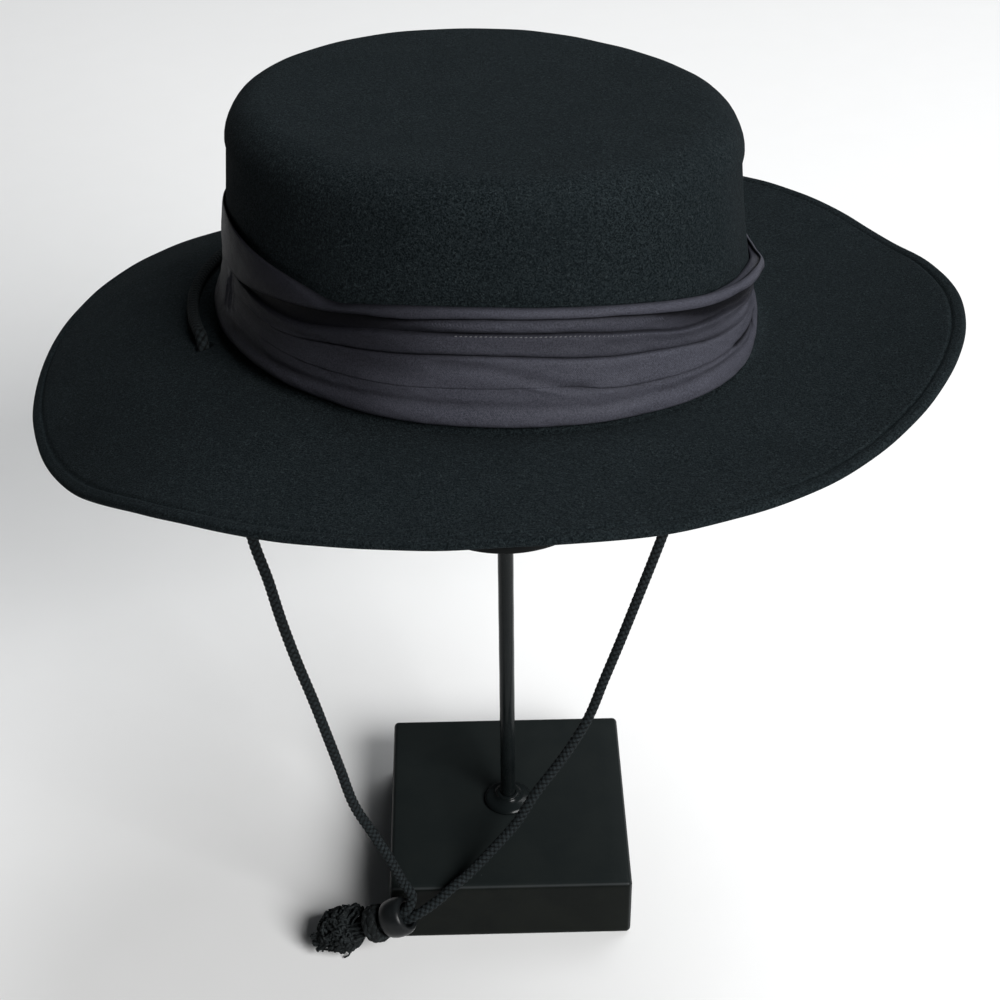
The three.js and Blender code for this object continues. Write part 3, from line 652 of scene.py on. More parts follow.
shift = shift + 0.16 * np.sin(run_mm * 0.11 + 0.45 * H + 0.6) * np.sin(0.5 * H - run_mm * 0.02)
shift = shift + 0.1 * np.sin(run_mm * 0.21 - 0.8 * H + 2.2) * np.sin(run_mm * 0.037 + 1.0)
shift = shift + 0.05 * np.sin(run_mm * 0.63 + 1.9 * H) * np.sin(run_mm * 0.09 + 0.35 * H)
cover = np.clip(band_off_rows / 2.5, 0, 1)            # nothing moves where it is tacked
off = band_off_rows + shift * cover
band_outside = beside_crown(A, wall_outward(A, H) + off, H)
band_out = grid_normals(band_outside)
print("the band stands off the crown by up to", round(float(off.max()), 2), "mm")


# %% Painted shade: how deep each point lies in a fold
def fold_shade(heights, offs, reach=7.0):
    """Painted shade, from 0 in the open to 1 where the cloth above or below hangs over a
    point.
    """
    shade = np.zeros_like(offs)
    rows = len(offs)
    for step in [*range(-30, 0), *range(1, 31)]:
        here = slice(max(0, -step), rows - max(0, step))
        there = slice(max(0, step), rows - max(0, -step))
        rise = heights[there] - heights[here]
        apart = np.abs(rise)
        beyond = offs[there] - offs[here] - 0.2
        seen = np.where(apart < reach, beyond / (apart + 0.9), 0)
        shade[here] = np.maximum(shade[here], seen * np.where(rise > 0, 1.0, 0.55))
    return np.clip(1.5 * (shade - 0.1), 0, 1)


def deepen(first, last, value, past=1):
    """Shades the mesh rows from just past one point of the profile up to another."""
    rows = slice(steps_a_point * first + past, steps_a_point * last)
    band_shade[rows] = np.maximum(band_shade[rows], value)


# Painted shade: the band's colour is darkened in its creases, in the tack hole and the slit,
# in the recess under the strip and far under the roll.
band_shade = fold_shade(H, off)
band_shade = np.maximum(band_shade, np.minimum(2.2 * tack_hole + 1.5 * slit, 1))
foot, upper, top, tuck, hollow, flare = round_the_hat(
    band_lines, "foot upper top tuck hollow flare", band_angles)
deepen(22, 29, np.clip(1.3 * tuck, 0, 0.97))          # from the seam to under the roll
# Painted shade: the band's left side, turned away from the light, is darkened, less at the
# gather.
open_from = np.interp(H, [15, 22], [235, 252])        # the painted shade on the left fades out in front of this
fades_over = np.interp(H, [15, 22], [12, 26])
gathered = np.exp(-((A - 179) / 4.0) ** 2) * np.clip((26 - H) / 3, 0, 1)
painted_left_shade = (np.clip((open_from - A) / fades_over, 0, 1) * np.clip((A - 60) / 60, 0, 1)
                * (0.42 + 0.3 * np.exp(-((np.minimum(H, 23) - 23) / 7.0) ** 2))
                * (1 - 0.7 * gathered))
band_shade = band_shade + (1 - band_shade) * painted_left_shade
# Painted shade on the panels in front, darkest between the wide crease and the seam.
in_front = np.clip((band_angles - 222) / 12, 0, 1) * np.clip((308 - band_angles) / 12, 0, 1)
for first, last, share in ((17, 21, 0.3), (24, 27, 0.12), (30, 35, 0.1)):
    deepen(first, last, share * in_front)
deepen(25, 29, 0.6 * hollow, past=0)                  # far in under the roll
# painted shade under the roll at its tip
deepen(24, 29, 0.9 * np.exp(-((band_angles - 322) / 8.0) ** 2), past=0)
print("deepest shade in the folds:", round(float(band_shade.max()), 2))

# %% The band's mesh
filled = np.clip(flare / 3, 0, 1)
lining_gap = 0.42                     # from the crown's wall to the band's inside
lining = np.array([
    beside_crown(band_angles, wall_outward(band_angles, height) + gap, height)
    for height, gap in (
        (top - mix(1.5, 0.8, filled), 0.46 + 0.72 * flare),
        (top - mix(1.7, 0.95, filled), 0.44 + 0.3 * flare),
        (top - mix(1.9, 1.2, filled), lining_gap), (upper - 0.4, lining_gap),
        (mix(foot, upper, 0.6), lining_gap), (mix(foot, upper, 0.3), lining_gap),
        (foot + 1.4, lining_gap))])
band_rings = np.concatenate([band_outside, lining])
cloth_up = np.concatenate([[np.zeros(len(band_angles))], np.cumsum(
    np.linalg.norm(np.diff(band_rings, axis=0), axis=2), axis=0)])
cloth_along = np.broadcast_to(np.radians(band_angles) * band_radius, cloth_up.shape)
hat_band = mesh_piece("hat_band", hat_to_stand(band_rings),
                      ring_faces(len(band_rings), len(band_angles), closed_rows=True),
                      ["hat_band"], never_sharp)
lay_uv(hat_band, cloth_along.ravel() * mm, cloth_up.ravel() * mm)
# the painted shade is stored as depth, which the satin's finish reads
lay_value(hat_band, "depth", np.concatenate([band_shade, np.zeros(lining.shape[:2])]))

# %% [markdown]
# ## Stitches on the band
#
# Along the seam in front runs a row of tiny pale stitches, and a second row of longer,
# finer ones lies slanted in the weave of the upper fold. Each is a short grain of
# thread that dips into the cloth at both ends, so each is a small stretched ball half
# sunk in the band. Each row goes into one mesh.


# %% Seam stitches
def small_ball(place, half_sizes, slant, out, rings=5, sides=8):
    """Points and faces of a ball stretched along a slant and away from the cloth."""
    q = np.repeat(np.arange(rings + 1) * math.pi / rings, sides)
    t = np.tile(np.arange(sides) * 2 * math.pi / sides, rings + 1)
    ball = np.stack([np.sin(q) * np.cos(t), np.sin(q) * np.sin(t), np.cos(q)], 1)
    axes = np.array([slant, np.cross(out, slant), out])
    return place + (ball * half_sizes) @ axes, ring_faces(rings + 1, sides).tolist()


def on_band(at, row):
    """A row of the band's points or normals at an angle between its columns."""
    return np.array([np.interp(at, band_angles, row[:, k]) for k in range(3)])


seam_at, fold_at = steps_a_point * 20 + 2, steps_a_point * 25   # rows of the band's mesh
seam_gap, fold_gap = 1.5, 1.05        # millimetres from stitch to stitch
seam_row, stitches = band_outside[seam_at], []
for at in np.arange(242.0, 278.0, math.degrees(seam_gap / band_radius)):
    spot = on_band(at, seam_row)
    lean = 0.25 + 0.9 * min(max((at - 258) / 14, 0), 1)       # they turn to slants
    slant = unit(unit(on_band(at + 0.3, seam_row) - spot) + np.array([0, 0, lean]))
    fade = 1 - 0.45 * min(max((at - 266) / 10, 0), 1)
    stitches.append(small_ball(spot, np.array([0.44, 0.17, 0.2]) * fade, slant,
                               on_band(at, band_out[seam_at])))
points, faces = joined(stitches)
band_stitches = mesh_piece("band_stitches", hat_to_stand(points), faces)
fine_stitches = []
for at in np.arange(238.0, 283.0, math.degrees(fold_gap / band_radius)):
    out = on_band(at, band_out[fold_at])
    slant = unit(np.cross(out, [0, 0, 1.0]) * -0.62 + np.array([0, 0, 0.78]))
    fine_stitches.append(small_ball(on_band(at, band_outside[fold_at]),
                                    np.array([0.85, 0.16, 0.09]), slant, out, 4, 6))
points, faces = joined(fine_stitches)
fold_stitches = mesh_piece("fold_stitches", hat_to_stand(points), faces)
print("stitches:", len(stitches), "and", len(fine_stitches))

# %% [markdown]
# ## Bead
#
# Both ends of the cord go through a short barrel bead of glossy black plastic. It is a
# turned shape, so its outline is spun round the bead's axis. Its rims are rounded,
# because a sharp rim never catches the light as the real one does.


# %% Turned shapes
def turned(name, outline, place, axis, sides=72):
    """Spins a closed outline of (radius, height) points round an axis."""
    axis = unit(np.asarray(axis, float))
    side = unit(np.cross(axis, [0.0, 1.0, 0.0]))
    turn = np.arange(sides) * 2 * math.pi / sides
    circle = np.cos(turn)[:, None] * side + np.sin(turn)[:, None] * np.cross(axis, side)
    rings = np.array([place + r * circle + h * axis for r, h in outline])
    return mesh_piece(name, rings.reshape(-1, 3) * mm,
                      ring_faces(len(outline), sides, closed_rows=True), [name])


def rounded(corners, radius, steps=5):
    """A closed outline with every corner rounded; a corner may name its own radius."""
    out, n = [], len(corners)
    for i, corner in enumerate(corners):
        here = np.array(corner[:2], float)
        to_last, to_ahead = (np.array(corners[(i + k) % n][:2], float) - here
                             for k in (-1, 1))
        own = corner[2] if len(corner) > 2 else radius
        cut = min(own, 0.45 * np.linalg.norm(to_last), 0.45 * np.linalg.norm(to_ahead))
        a, b = here + unit(to_last) * cut, here + unit(to_ahead) * cut
        out += [(1 - t) ** 2 * a + 2 * t * (1 - t) * here + t**2 * b
                for t in np.linspace(0, 1, steps)]
    return out


bead_radius, bead_bore, h = 7.6, 4.7, bead_length / 2
bead_outline = rounded([
    (bead_bore, -h), (bead_radius * 0.8, -h), (bead_radius * 0.93, -h * 0.78),
    (bead_radius, -h * 0.3), (bead_radius, h * 0.3), (bead_radius * 0.93, h * 0.78),
    (bead_radius * 0.8, h), (bead_bore, h)], 1.6)
slide_bead = turned("slide_bead", bead_outline, bead_place, bead_axis)

# %% [markdown]
# ## Knot and tuft
#
# Past the bead the two ends are tied in a knot, and their yarn is frayed out into a
# tuft that lies on the table. The knot is a few turns of the same braid wound tightly
# round the bead's axis. The tuft is some hundreds of thin curly yarns that start in
# the knot and spread in locks. Each is a slim tapering tube with a seeded wobble, so
# the tuft is the same on every run.

# %% Knot
knot_near = bead_place - bead_axis * (bead_length / 2 + 0.35)
knot_side = unit(np.cross(bead_axis, [0, 0, 1.0]))
knot_over = np.cross(bead_axis, knot_side)
knot_turns, knot_radius, knot_length = 2.6, 4.6, 5.4
t = np.linspace(0, 1, 60)
swell = knot_radius + 0.9 * np.sin(math.pi * t)
wind = t * knot_turns * 2 * math.pi + 0.6
knot_route = (knot_near - bead_axis * (2.2 + knot_length * t[:, None])
              + knot_side * (swell * np.cos(wind))[:, None]
              + knot_over * (swell * np.sin(wind))[:, None])
core_route = np.array([knot_near - bead_axis * k for k in (0.3, 3, 6, 9)])
wrap = braided_tube(knot_route * mm, 0.4 * mm, 4.2 * mm, sides=24, strands=4,
                    pitch=2.9 * mm, relief=0.42 * mm)
core = braided_tube(core_route * mm, 0.4 * mm, 7.6 * mm, sides=24, strands=6,
                    pitch=3 * mm, relief=0.4 * mm)
points, faces = joined([wrap[:2], core[:2]])
along, around, gaps = (np.concatenate([wrap[k], core[k]]) for k in (2, 3, 4))
cord_knot = mesh_piece("cord_knot", points, faces, ["cord_tassel"],
                       never_sharp)
lay_uv(cord_knot, along, around)
# The braid's gaps are stored as depth; the yarn's finish paints shade there.
lay_value(cord_knot, "depth", gaps)

# %% Yarns of the tuft
tuft_place = np.array([-64.8, -50.9, 10.2])
table_clearance, tuft_front = 0.4, -60.4
# a lock's direction round the vertical and above the horizontal, its length and
# spread, and the share of its length at which it is trimmed
tuft_locks = [
    (190, -14, 13.2, 13, 0.95), (160, 8, 12.4, 20, 0.8), (208, 14, 12.4, 20, 0.8),
    (178, 40, 12.0, 20, 0.8), (130, 42, 11.6, 20, 0.8), (232, 44, 12.0, 20, 0.8),
    (240, 2, 10.4, 20, 0.8), (268, 28, 10.2, 20, 0.8), (280, -8, 9.4, 16, 0.8),
    (306, 14, 9.8, 16, 0.8), (218, -24, 10.2, 16, 0.8), (120, -6, 11.8, 18, 0.8),
    (88, 18, 11.8, 18, 0.8), (38, 54, 14.4, 6, 0.8), (322, -20, 9.4, 12, 0.8),
    (345, -30, 9.8, 12, 0.85)]
yarns_in_a_lock, yarns_from_the_knot = 30, 90
yarn_radius, yarn_steps, yarn_sides = 0.5, 11, 5
luck = np.random.default_rng(7)


def yarn(start, direction, length, trim):
    """A thin tube that leaves the tuft's middle, curls and is trimmed at a distance."""
    t = np.linspace(0, 1, yarn_steps)[:, None]
    side = unit(np.cross(direction, luck.normal(size=3)))
    over = np.cross(direction, side)
    curl, turns, phase = luck.uniform(0.5, 1.2), luck.uniform(0.9, 2.2), luck.uniform(0, 6.28)
    wind = turns * 6.28 * t + phase
    line = (start + direction * length * t + side * curl * t * np.cos(wind)
            + over * curl * t * np.sin(wind))
    line[:, 2] -= 1.4 * t[:, 0] ** 2
    reach = np.linalg.norm(line - tuft_place, axis=1)[:, None]
    line = tuft_place + (line - tuft_place) * np.minimum(1, trim / np.maximum(reach, 1e-6))
    line[:, 1] = np.maximum(line[:, 1], tuft_front)
    line[:, 2] = np.maximum(line[:, 2], table_clearance + yarn_radius)
    radius = yarn_radius * luck.uniform(0.8, 1.25) * (1 - 0.12 * t**3)
    ends = np.arange(yarn_sides)
    faces = ring_faces(yarn_steps, yarn_sides).tolist()
    faces += [ends[::-1].tolist(), (ends + (yarn_steps - 1) * yarn_sides).tolist()]
    return tube_skin(line, radius, yarn_sides).reshape(-1, 3), faces


yarns = []
for round_it, above, reach, spread, trim in tuft_locks:
    for _ in range(yarns_in_a_lock):
        turn = math.radians(round_it + luck.normal() * spread)
        lift = math.radians(above + luck.normal() * spread * 0.7)
        out = np.array([math.cos(lift) * math.cos(turn), math.cos(lift) * math.sin(turn),
                        math.sin(lift)])
        start = tuft_place + luck.normal(size=3) * 2.0 + out * 2.5
        start[2] = max(start[2], 1.6)
        length = reach * luck.uniform(0.78, 0.97) - 2.5
        yarns.append(yarn(start, out, length, trim * reach))
for _ in range(yarns_from_the_knot):
    start = knot_near - bead_axis * 7.0 + luck.normal(size=3) * 1.9
    towards = tuft_place + luck.normal(size=3) * 3.2 - start
    far = np.linalg.norm(towards)
    yarns.append(yarn(start, towards / far, far, 40.0))
points, faces = joined(yarns)
cord_tuft = mesh_piece("cord_tuft", points * mm, faces, sharp=never_sharp)
print("tuft:", len(yarns), "yarns")

# %% [markdown]
# Its length here is the whole loop, from the bead through both holes and back.

# %% [markdown]
# ## Stand
#
# The block is solid and painted satin black. Its edges were broken before it was
# painted, and on a dark object those narrow rounds are nearly all that the light
# picks out, so they are modelled and not left to a bump. Rod, collar, disc and the
# hidden post are turned shapes.

# %% Block
base_side, base_height, base_edge = 93.0, 28.2, 2.0
rod_radius, clearance = 2.9, 0.35


def rounded_block(side, height, radius, steps=8, cells=14):
    """A square block whose edges and corners are all rounded, standing on z = 0."""
    work = bmesh.new()
    bmesh.ops.create_cube(work, size=1.0)
    for v in work.verts:
        v.co = Vector((v.co.x * side, v.co.y * side, (v.co.z + 0.5) * height))
    bmesh.ops.bevel(work, geom=work.edges[:], offset=radius, segments=steps,
                    profile=0.5, affect="EDGES")
    flat = [e for e in work.edges if e.calc_length() > 10]
    bmesh.ops.subdivide_edges(work, edges=flat, cuts=cells, use_grid_fill=True)
    points = np.array([v.co for v in work.verts])
    faces = [[v.index for v in f.verts] for f in work.faces]
    work.free()
    return points, faces


points, faces = rounded_block(base_side, base_height, base_edge)
stand_base = mesh_piece("stand_base", points * mm, faces, ["stand_base"])
inside = np.stack([base_side / 2 - np.abs(points[:, 0]), base_side / 2 - np.abs(points[:, 1]),
                   np.minimum(points[:, 2], base_height - points[:, 2])])
# 1 on the middle of a rounded edge, where two of the three distances are small; the finish
# paints a highlight there
lay_value(stand_base, "edge", np.clip(1 - np.sort(inside, axis=0)[1] / base_edge, 0, 1))

# %% Collar, rod, disc and the hidden post
up, middle = (0, 0, 1), np.zeros(3)
collar_radius, collar_height, collar_low = 9.5, 4.2, base_height + 0.05
collar_bore, disc_bore = rod_radius + 0.15, rod_radius + clearance
collar_outline = rounded([
    (collar_bore, collar_low), (collar_radius - 0.3, collar_low, 0.2),
    (collar_radius, collar_low + 0.9, 0.5), (collar_radius - 1.1, collar_low + 1.9, 1.0),
    (5.9, collar_low + 2.5, 1.2), (4.7, collar_low + 3.4, 0.8),
    (4.3, collar_low + collar_height, 0.6),
    (collar_bore, collar_low + collar_height, 0.2)], 0.3, steps=6)
stand_collar = turned("stand_collar", collar_outline, middle, up, sides=96)

disc_under, disc_radius, disc_thickness = base_height + 153.0, 35.0, 4.0
disc_top = disc_under + disc_thickness
rod_foot, rod_top, thin = 16.6, disc_top + 14, 0.02
rod_outline = ([(thin, rod_foot), (rod_radius - 0.5, rod_foot)]
               + [(rod_radius + 0.02 * math.sin(h * 0.31), h)
                  for h in np.linspace(rod_foot + 0.6, rod_top - 0.6, 60)]
               + [(rod_radius - 0.5, rod_top), (thin, rod_top)])
stand_rod = turned("stand_rod", rod_outline, middle, up, sides=48)
disc_outline = rounded([(disc_bore, disc_under), (disc_radius, disc_under, 1.5),
                        (disc_radius, disc_top, 1.5), (disc_bore, disc_top)], 0.3, steps=6)
stand_disc = turned("stand_disc", disc_outline, middle, up, sides=128)

rest_low, rest_high = (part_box("hat_rest")[k].z / mm for k in (0, 1))
cap_radius, cap_crown, cap_edge, post_radius, post_flare = 42.0, 60.0, 5.0, 8.0, 6.0


def dome(radius):
    return rest_high - cap_crown + math.sqrt(cap_crown**2 - radius**2)


rest_under = dome(cap_radius) - cap_edge
rest_corners = [
    (disc_bore, rest_low), (post_radius, rest_low, 0.6),
    (post_radius, rest_under - post_flare, 4), (post_radius + post_flare, rest_under, 3),
    (cap_radius, rest_under, 1.6), (cap_radius, dome(cap_radius), 1.2)]
rest_corners += [(r, dome(r), 0.1) for r in np.linspace(cap_radius - 4, thin, 14)]
rest_corners += [(thin, rod_top + clearance, 0.01), (disc_bore, rod_top + clearance, 0.2)]
hat_rest = turned("hat_rest", rounded(rest_corners, 0.3, steps=4), middle, up,
                  sides=96)

# %% [markdown]
# ## Finishes
#
# On an object that is black all over, the finishes differ in how they scatter light and
# in their smallest detail, not in colour. Felt is a mat of short wool fibres, satin has
# fine slanting threads and a broad sheen, the cord is fuzzy, the bead is glossy and the
# stand is painted. Each finish is built from procedural textures in the hat's own
# metres, so its grain has the right size. Effects that several finishes share are node
# groups with named inputs and outputs.


# %% Node helpers
def add(tree, kind, inputs=(), **settings):
    """A node of a kind with its settings, and its inputs set or linked."""
    made = tree.nodes.new("ShaderNode" + kind)
    for name, value in settings.items():
        setattr(made, name, value)
    for key, value in dict(inputs).items():
        if isinstance(value, bpy.types.NodeSocket):
            tree.links.new(value, made.inputs[key])
        else:
            made.inputs[key].default_value = value
    return made


def calc(tree, operation, a, b=0.0, clamp=False):
    """The output of a Math node."""
    return add(tree, "Math", {0: a, 1: b}, operation=operation, use_clamp=clamp).outputs[0]


def times(tree, a, b):
    return calc(tree, "MULTIPLY", a, b)


def plus(tree, a, b):
    return calc(tree, "ADD", a, b)


def ramp(tree, value, low, high, to_low=0.0, to_high=1.0):
    """A value between low and high, spread over a new range and held at its ends."""
    return add(tree, "MapRange", {"Value": value, "From Min": low, "From Max": high,
                                  "To Min": to_low, "To Max": to_high}).outputs[0]


def noise(tree, vector, scale, detail=3.0, distortion=0.0, roughness=0.55):
    return add(tree, "TexNoise", {"Vector": vector, "Scale": scale, "Detail": detail,
                                  "Roughness": roughness,
                                  "Distortion": distortion}).outputs["Fac"]


def mixed(tree, share, first, second):
    """One colour where share is 0 and the other where it is 1."""
    return add(tree, "Mix", {0: share, 6: first, 7: second}, data_type="RGBA").outputs[2]


def tint(tree, base, value, amount, colour):
    """A colour laid over the base by a value times an amount."""
    return mixed(tree, times(tree, value, amount), base, colour)


def new_group(name, inputs, outputs):
    """An empty shader group with named sockets; inputs carry their starting values."""
    group = bpy.data.node_groups.new(name, "ShaderNodeTree")
    for label, kind, value in inputs:
        socket = group.interface.new_socket(
            name=label, in_out="INPUT", socket_type="NodeSocket" + kind)
        if value is not None:
            socket.default_value = value
    for label in outputs:
        group.interface.new_socket(
            name=label, in_out="OUTPUT", socket_type="NodeSocketFloat")
    return group, group.nodes.new("NodeGroupInput").outputs


def end_group(group, values):
    """Links a group's named outputs and prints its sockets."""
    out = group.nodes.new("NodeGroupOutput").inputs
    for name, value in values.items():
        group.links.new(value, out[name])
    print("group", group.name, [x.name for x in group.interface.items_tree])


def use(tree, group, place, *values, first="Place"):
    """A group placed in a material: its place, then its other inputs in their order."""
    names = [x.name for x in group.interface.items_tree if x.in_out == "INPUT"][1:]
    return add(tree, "Group", {first: place, **dict(zip(names, values))},
               node_tree=group).outputs


def new_finish(name, roughness, **sockets):
    """A material with one Principled shader; plain values are set on its sockets."""
    material = bpy.data.materials.new(name)
    material.use_nodes = True
    tree = material.node_tree
    tree.nodes.clear()
    shader = add(tree, "BsdfPrincipled", {"Roughness": roughness})
    for key, value in sockets.items():
        shader.inputs[key.replace("_", " ")].default_value = value
    tree.links.new(shader.outputs[0], add(tree, "OutputMaterial").inputs["Surface"])
    return material, tree, shader, add(tree, "TexCoord").outputs["Object"]


def lay_finish(tree, shader, base, height, strength, distance):
    """Gives a shader its colour and its bump."""
    tree.links.new(base, shader.inputs["Base Color"])
    bump = add(tree, "Bump", {"Height": height, "Strength": strength, "Distance": distance})
    tree.links.new(bump.outputs[0], shader.inputs["Normal"])


def wear_finish(material, *pieces):
    for piece in pieces:
        piece.data.materials.clear()
        piece.data.materials.append(material)
    print(material.name, "on", ", ".join(piece.name for piece in pieces))


def stored(tree, name):
    """A number that the mesh keeps on each of its points."""
    return add(tree, "Attribute", attribute_name=name).outputs["Fac"]


def black(red, green, blue):
    return (red, green, blue, 1.0)


# %% [markdown]
# ### Fibre nap
#
# Felt, yarn and cord all show short fibres: a fine mottling with a few paler threads
# that curl over it. The mottling is plain noise. A thread is where a distorted noise
# crosses its middle value, since the places where a smooth noise has one value are
# long thin curves. A second noise keeps only scattered bits of those curves.

# %% Group: fibre nap
fibre_nap, given = new_group(
    "fibre_nap",
    [("Place", "Vector", None), ("Grain", "Float", 900.0), ("Thread", "Float", 260.0),
     ("Thread width", "Float", 0.02)],
    ["Height", "Mottle", "Threads"])
tree, place = fibre_nap, given["Place"]
mottle = noise(tree, place, given["Grain"], detail=4, distortion=0.6)
curve = noise(tree, place, given["Thread"], detail=2, distortion=1.4)
away = calc(tree, "ABSOLUTE", calc(tree, "SUBTRACT", curve, 0.5))
line = calc(tree, "SUBTRACT", 1.0, calc(tree, "DIVIDE", away, given["Thread width"]),
            clamp=True)
patch = ramp(tree, noise(tree, place, times(tree, given["Grain"], 0.42), detail=1), 0.52, 0.62)
threads = times(tree, line, patch)
end_group(fibre_nap, {"Height": plus(tree, mottle, times(tree, threads, 0.35)),
                      "Mottle": mottle, "Threads": threads})

# %% [markdown]
# ### Dust and scuffs
#
# Nothing black stays clean: pale specks of dust and lint lie on every surface, and
# hands leave slightly duller patches. Specks are the middles of Voronoi cells, of
# which a random few are kept, each as wide as its own cell's luck makes it.

# %% Group: dust and scuffs
dust_and_scuffs, given = new_group(
    "dust_and_scuffs",
    [("Place", "Vector", None), ("Specks", "Float", 90.0), ("Speck size", "Float", 0.05),
     ("Share kept", "Float", 0.25), ("Scuff scale", "Float", 30.0)],
    ["Dust", "Scuffs"])
tree = dust_and_scuffs
cells = add(tree, "TexVoronoi", {"Vector": given["Place"], "Scale": given["Specks"]})
chance = add(tree, "SeparateColor", {0: cells.outputs["Color"]})
kept = calc(tree, "LESS_THAN", chance.outputs[0], given["Share kept"])
width = times(tree, given["Speck size"], ramp(tree, chance.outputs[1], 0, 1, 0.35, 1.0))
speck = calc(tree, "SUBTRACT", 1.0, calc(tree, "DIVIDE", cells.outputs["Distance"], width),
             clamp=True)
smear = noise(tree, given["Place"], given["Scuff scale"], detail=5, distortion=0.4,
              roughness=0.62)
end_group(dust_and_scuffs, {"Dust": times(tree, kept, ramp(tree, speck, 0.0, 0.35)),
                            "Scuffs": ramp(tree, smear, 0.35, 0.75)})

# %% [markdown]
# ### Twill
#
# Satin and twill cloth have threads that step sideways from row to row, which shows as
# fine slanting lines. The piece's own map of lengths gives the direction along the
# cloth and across it, so the lines follow the folds. Rows of threads are sines of a
# slanted coordinate, shaken a little by noise.

# %% Group: twill
twill, given = new_group(
    "twill",
    [("Cloth", "Vector", None), ("Lines", "Float", 1300.0), ("Slant", "Float", 0.7),
     ("Shake", "Float", 0.6)],
    ["Height", "Lines shown"])
tree = twill
cloth = add(tree, "SeparateXYZ", {0: given["Cloth"]}).outputs
slanted = plus(tree, cloth[0], times(tree, cloth[1], given["Slant"]))
shake = times(tree, noise(tree, given["Cloth"], 500, detail=2), given["Shake"])
phase = plus(tree, times(tree, slanted, given["Lines"]), shake)
wave = calc(tree, "SINE", times(tree, phase, 2 * math.pi))
thread = calc(tree, "SINE", times(tree, times(tree, cloth[1], given["Lines"]),
                                  2 * math.pi * 1.7))
shown = ramp(tree, noise(tree, given["Cloth"], 60, detail=2), 0.42, 0.62)
end_group(twill, {"Height": plus(tree, times(tree, wave, 0.5), times(tree, thread, 0.22)),
                  "Lines shown": times(tree, plus(tree, wave, 1.0), shown)})

# %% [markdown]
# ### Wool felt
#
# Black wool with a faint blue-green cast. It is very rough, its fibre tips catch a
# little light at grazing angles, which is what sheen is for, and pale lint lies on it.

# %% Finish: wool felt
wool_felt, tree, shader, place = new_finish(
    "wool_felt", 0.92, Sheen_Weight=0.01, Sheen_Roughness=0.45, Specular_IOR_Level=0.02,
    Sheen_Tint=black(0.75, 0.9, 1.0))
nap = use(tree, fibre_nap, place, 1900.0, 760.0, 0.045)
lint = use(tree, dust_and_scuffs, place, 62.0, 0.034, 0.14, 14.0)
slow = ramp(tree, noise(tree, place, 42, detail=3), 0.35, 0.68)
base = mixed(tree, ramp(tree, nap["Mottle"], 0.42, 0.6), black(0.0026, 0.0040, 0.0046),
             black(0.0142, 0.0193, 0.0214))
base = tint(tree, base, slow, 0.3, black(0.0046, 0.0068, 0.0078))
base = tint(tree, base, lint["Scuffs"], 0.18, black(0.0115, 0.0155, 0.0175))
base = tint(tree, base, nap["Threads"], 0.5, black(0.042, 0.054, 0.058))
base = tint(tree, base, lint["Dust"], 0.7, black(0.16, 0.18, 0.18))
lay_finish(tree, shader, base, nap["Height"], 0.8, 0.0006)
wear_finish(wool_felt, felt_body)

# %% [markdown]
# ### Band satin
#
# Charcoal with a trace of purple, smoother along its threads than across them, with the
# twill showing in patches where the light grazes it. The band's stored depth is painted
# shade: it darkens its folds, the recess under the strip, the tack and the left side.
# The row of seam stitches has a paler thread of its own.

# %% Finish: band satin
band_satin, tree, shader, place = new_finish("band_satin", 0.5, Sheen_Weight=0.0,
                                             Specular_IOR_Level=0.03)
cloth = add(tree, "UVMap", uv_map="cloth").outputs[0]
weave = use(tree, twill, cloth, 1500.0, 0.85, 1.2, first="Cloth")
nap = use(tree, fibre_nap, place, 2600.0, 900.0, 0.03)
dust = use(tree, dust_and_scuffs, place, 110.0, 0.03, 0.08, 45.0)
base = mixed(tree, ramp(tree, nap["Mottle"], 0.36, 0.66), black(0.0240, 0.0245, 0.0312),
             black(0.0580, 0.0592, 0.0750))
base = tint(tree, base, dust["Scuffs"], 0.3, black(0.048, 0.048, 0.059))
base = tint(tree, base, weave["Lines shown"], 0.1, black(0.07, 0.0715, 0.088))
base = tint(tree, base, dust["Dust"], 0.5, black(0.2, 0.2, 0.21))
# painted shade: the stored depth darkens the satin nearly to black
base = tint(tree, base, stored(tree, "depth"), 0.9, black(0.0012, 0.0012, 0.0016))
tree.links.new(ramp(tree, dust["Scuffs"], 0, 1, 0.42, 0.56), shader.inputs["Roughness"])
relief = plus(tree, times(tree, weave["Height"], 0.25), times(tree, nap["Mottle"], 1.2))
lay_finish(tree, shader, base, relief, 0.45, 0.00025)
wear_finish(band_satin, hat_band, fold_stitches)

# %% Finish: stitch thread
stitch_thread, tree, shader, place = new_finish("stitch_thread", 0.5,
                                                Specular_IOR_Level=0.4)
nap = use(tree, fibre_nap, place, 2500.0, 900.0, 0.05)
base = mixed(tree, nap["Mottle"], black(0.05, 0.05, 0.055), black(0.15, 0.15, 0.16))
lay_finish(tree, shader, base, nap["Height"], 0.5, 0.0001)
wear_finish(stitch_thread, band_stitches)

# %% [markdown]
# ### Cord and yarn
#
# The braid's relief is in the mesh already. Its material adds the twist of the single
# yarns, fine lines that run along each strand, and the fuzz that softens them, and paints
# shade into the gaps between the strands.

# %% Finish: braided cord
painted_gap_shade = black(0.0007, 0.0010, 0.0011)
braided_cord, tree, shader, place = new_finish(
    "braided_cord", 0.85, Sheen_Weight=0.004, Sheen_Roughness=0.4, Specular_IOR_Level=0.12)
cloth = add(tree, "UVMap", uv_map="cloth").outputs[0]
twist = use(tree, twill, cloth, 2600.0, 1.2, 0.8, first="Cloth")
nap = use(tree, fibre_nap, place, 2200.0, 700.0, 0.04)
base = mixed(tree, ramp(tree, nap["Mottle"], 0.38, 0.66), black(0.0062, 0.0092, 0.0102),
             black(0.0205, 0.0260, 0.0285))
base = tint(tree, base, nap["Threads"], 0.45, black(0.03, 0.036, 0.04))
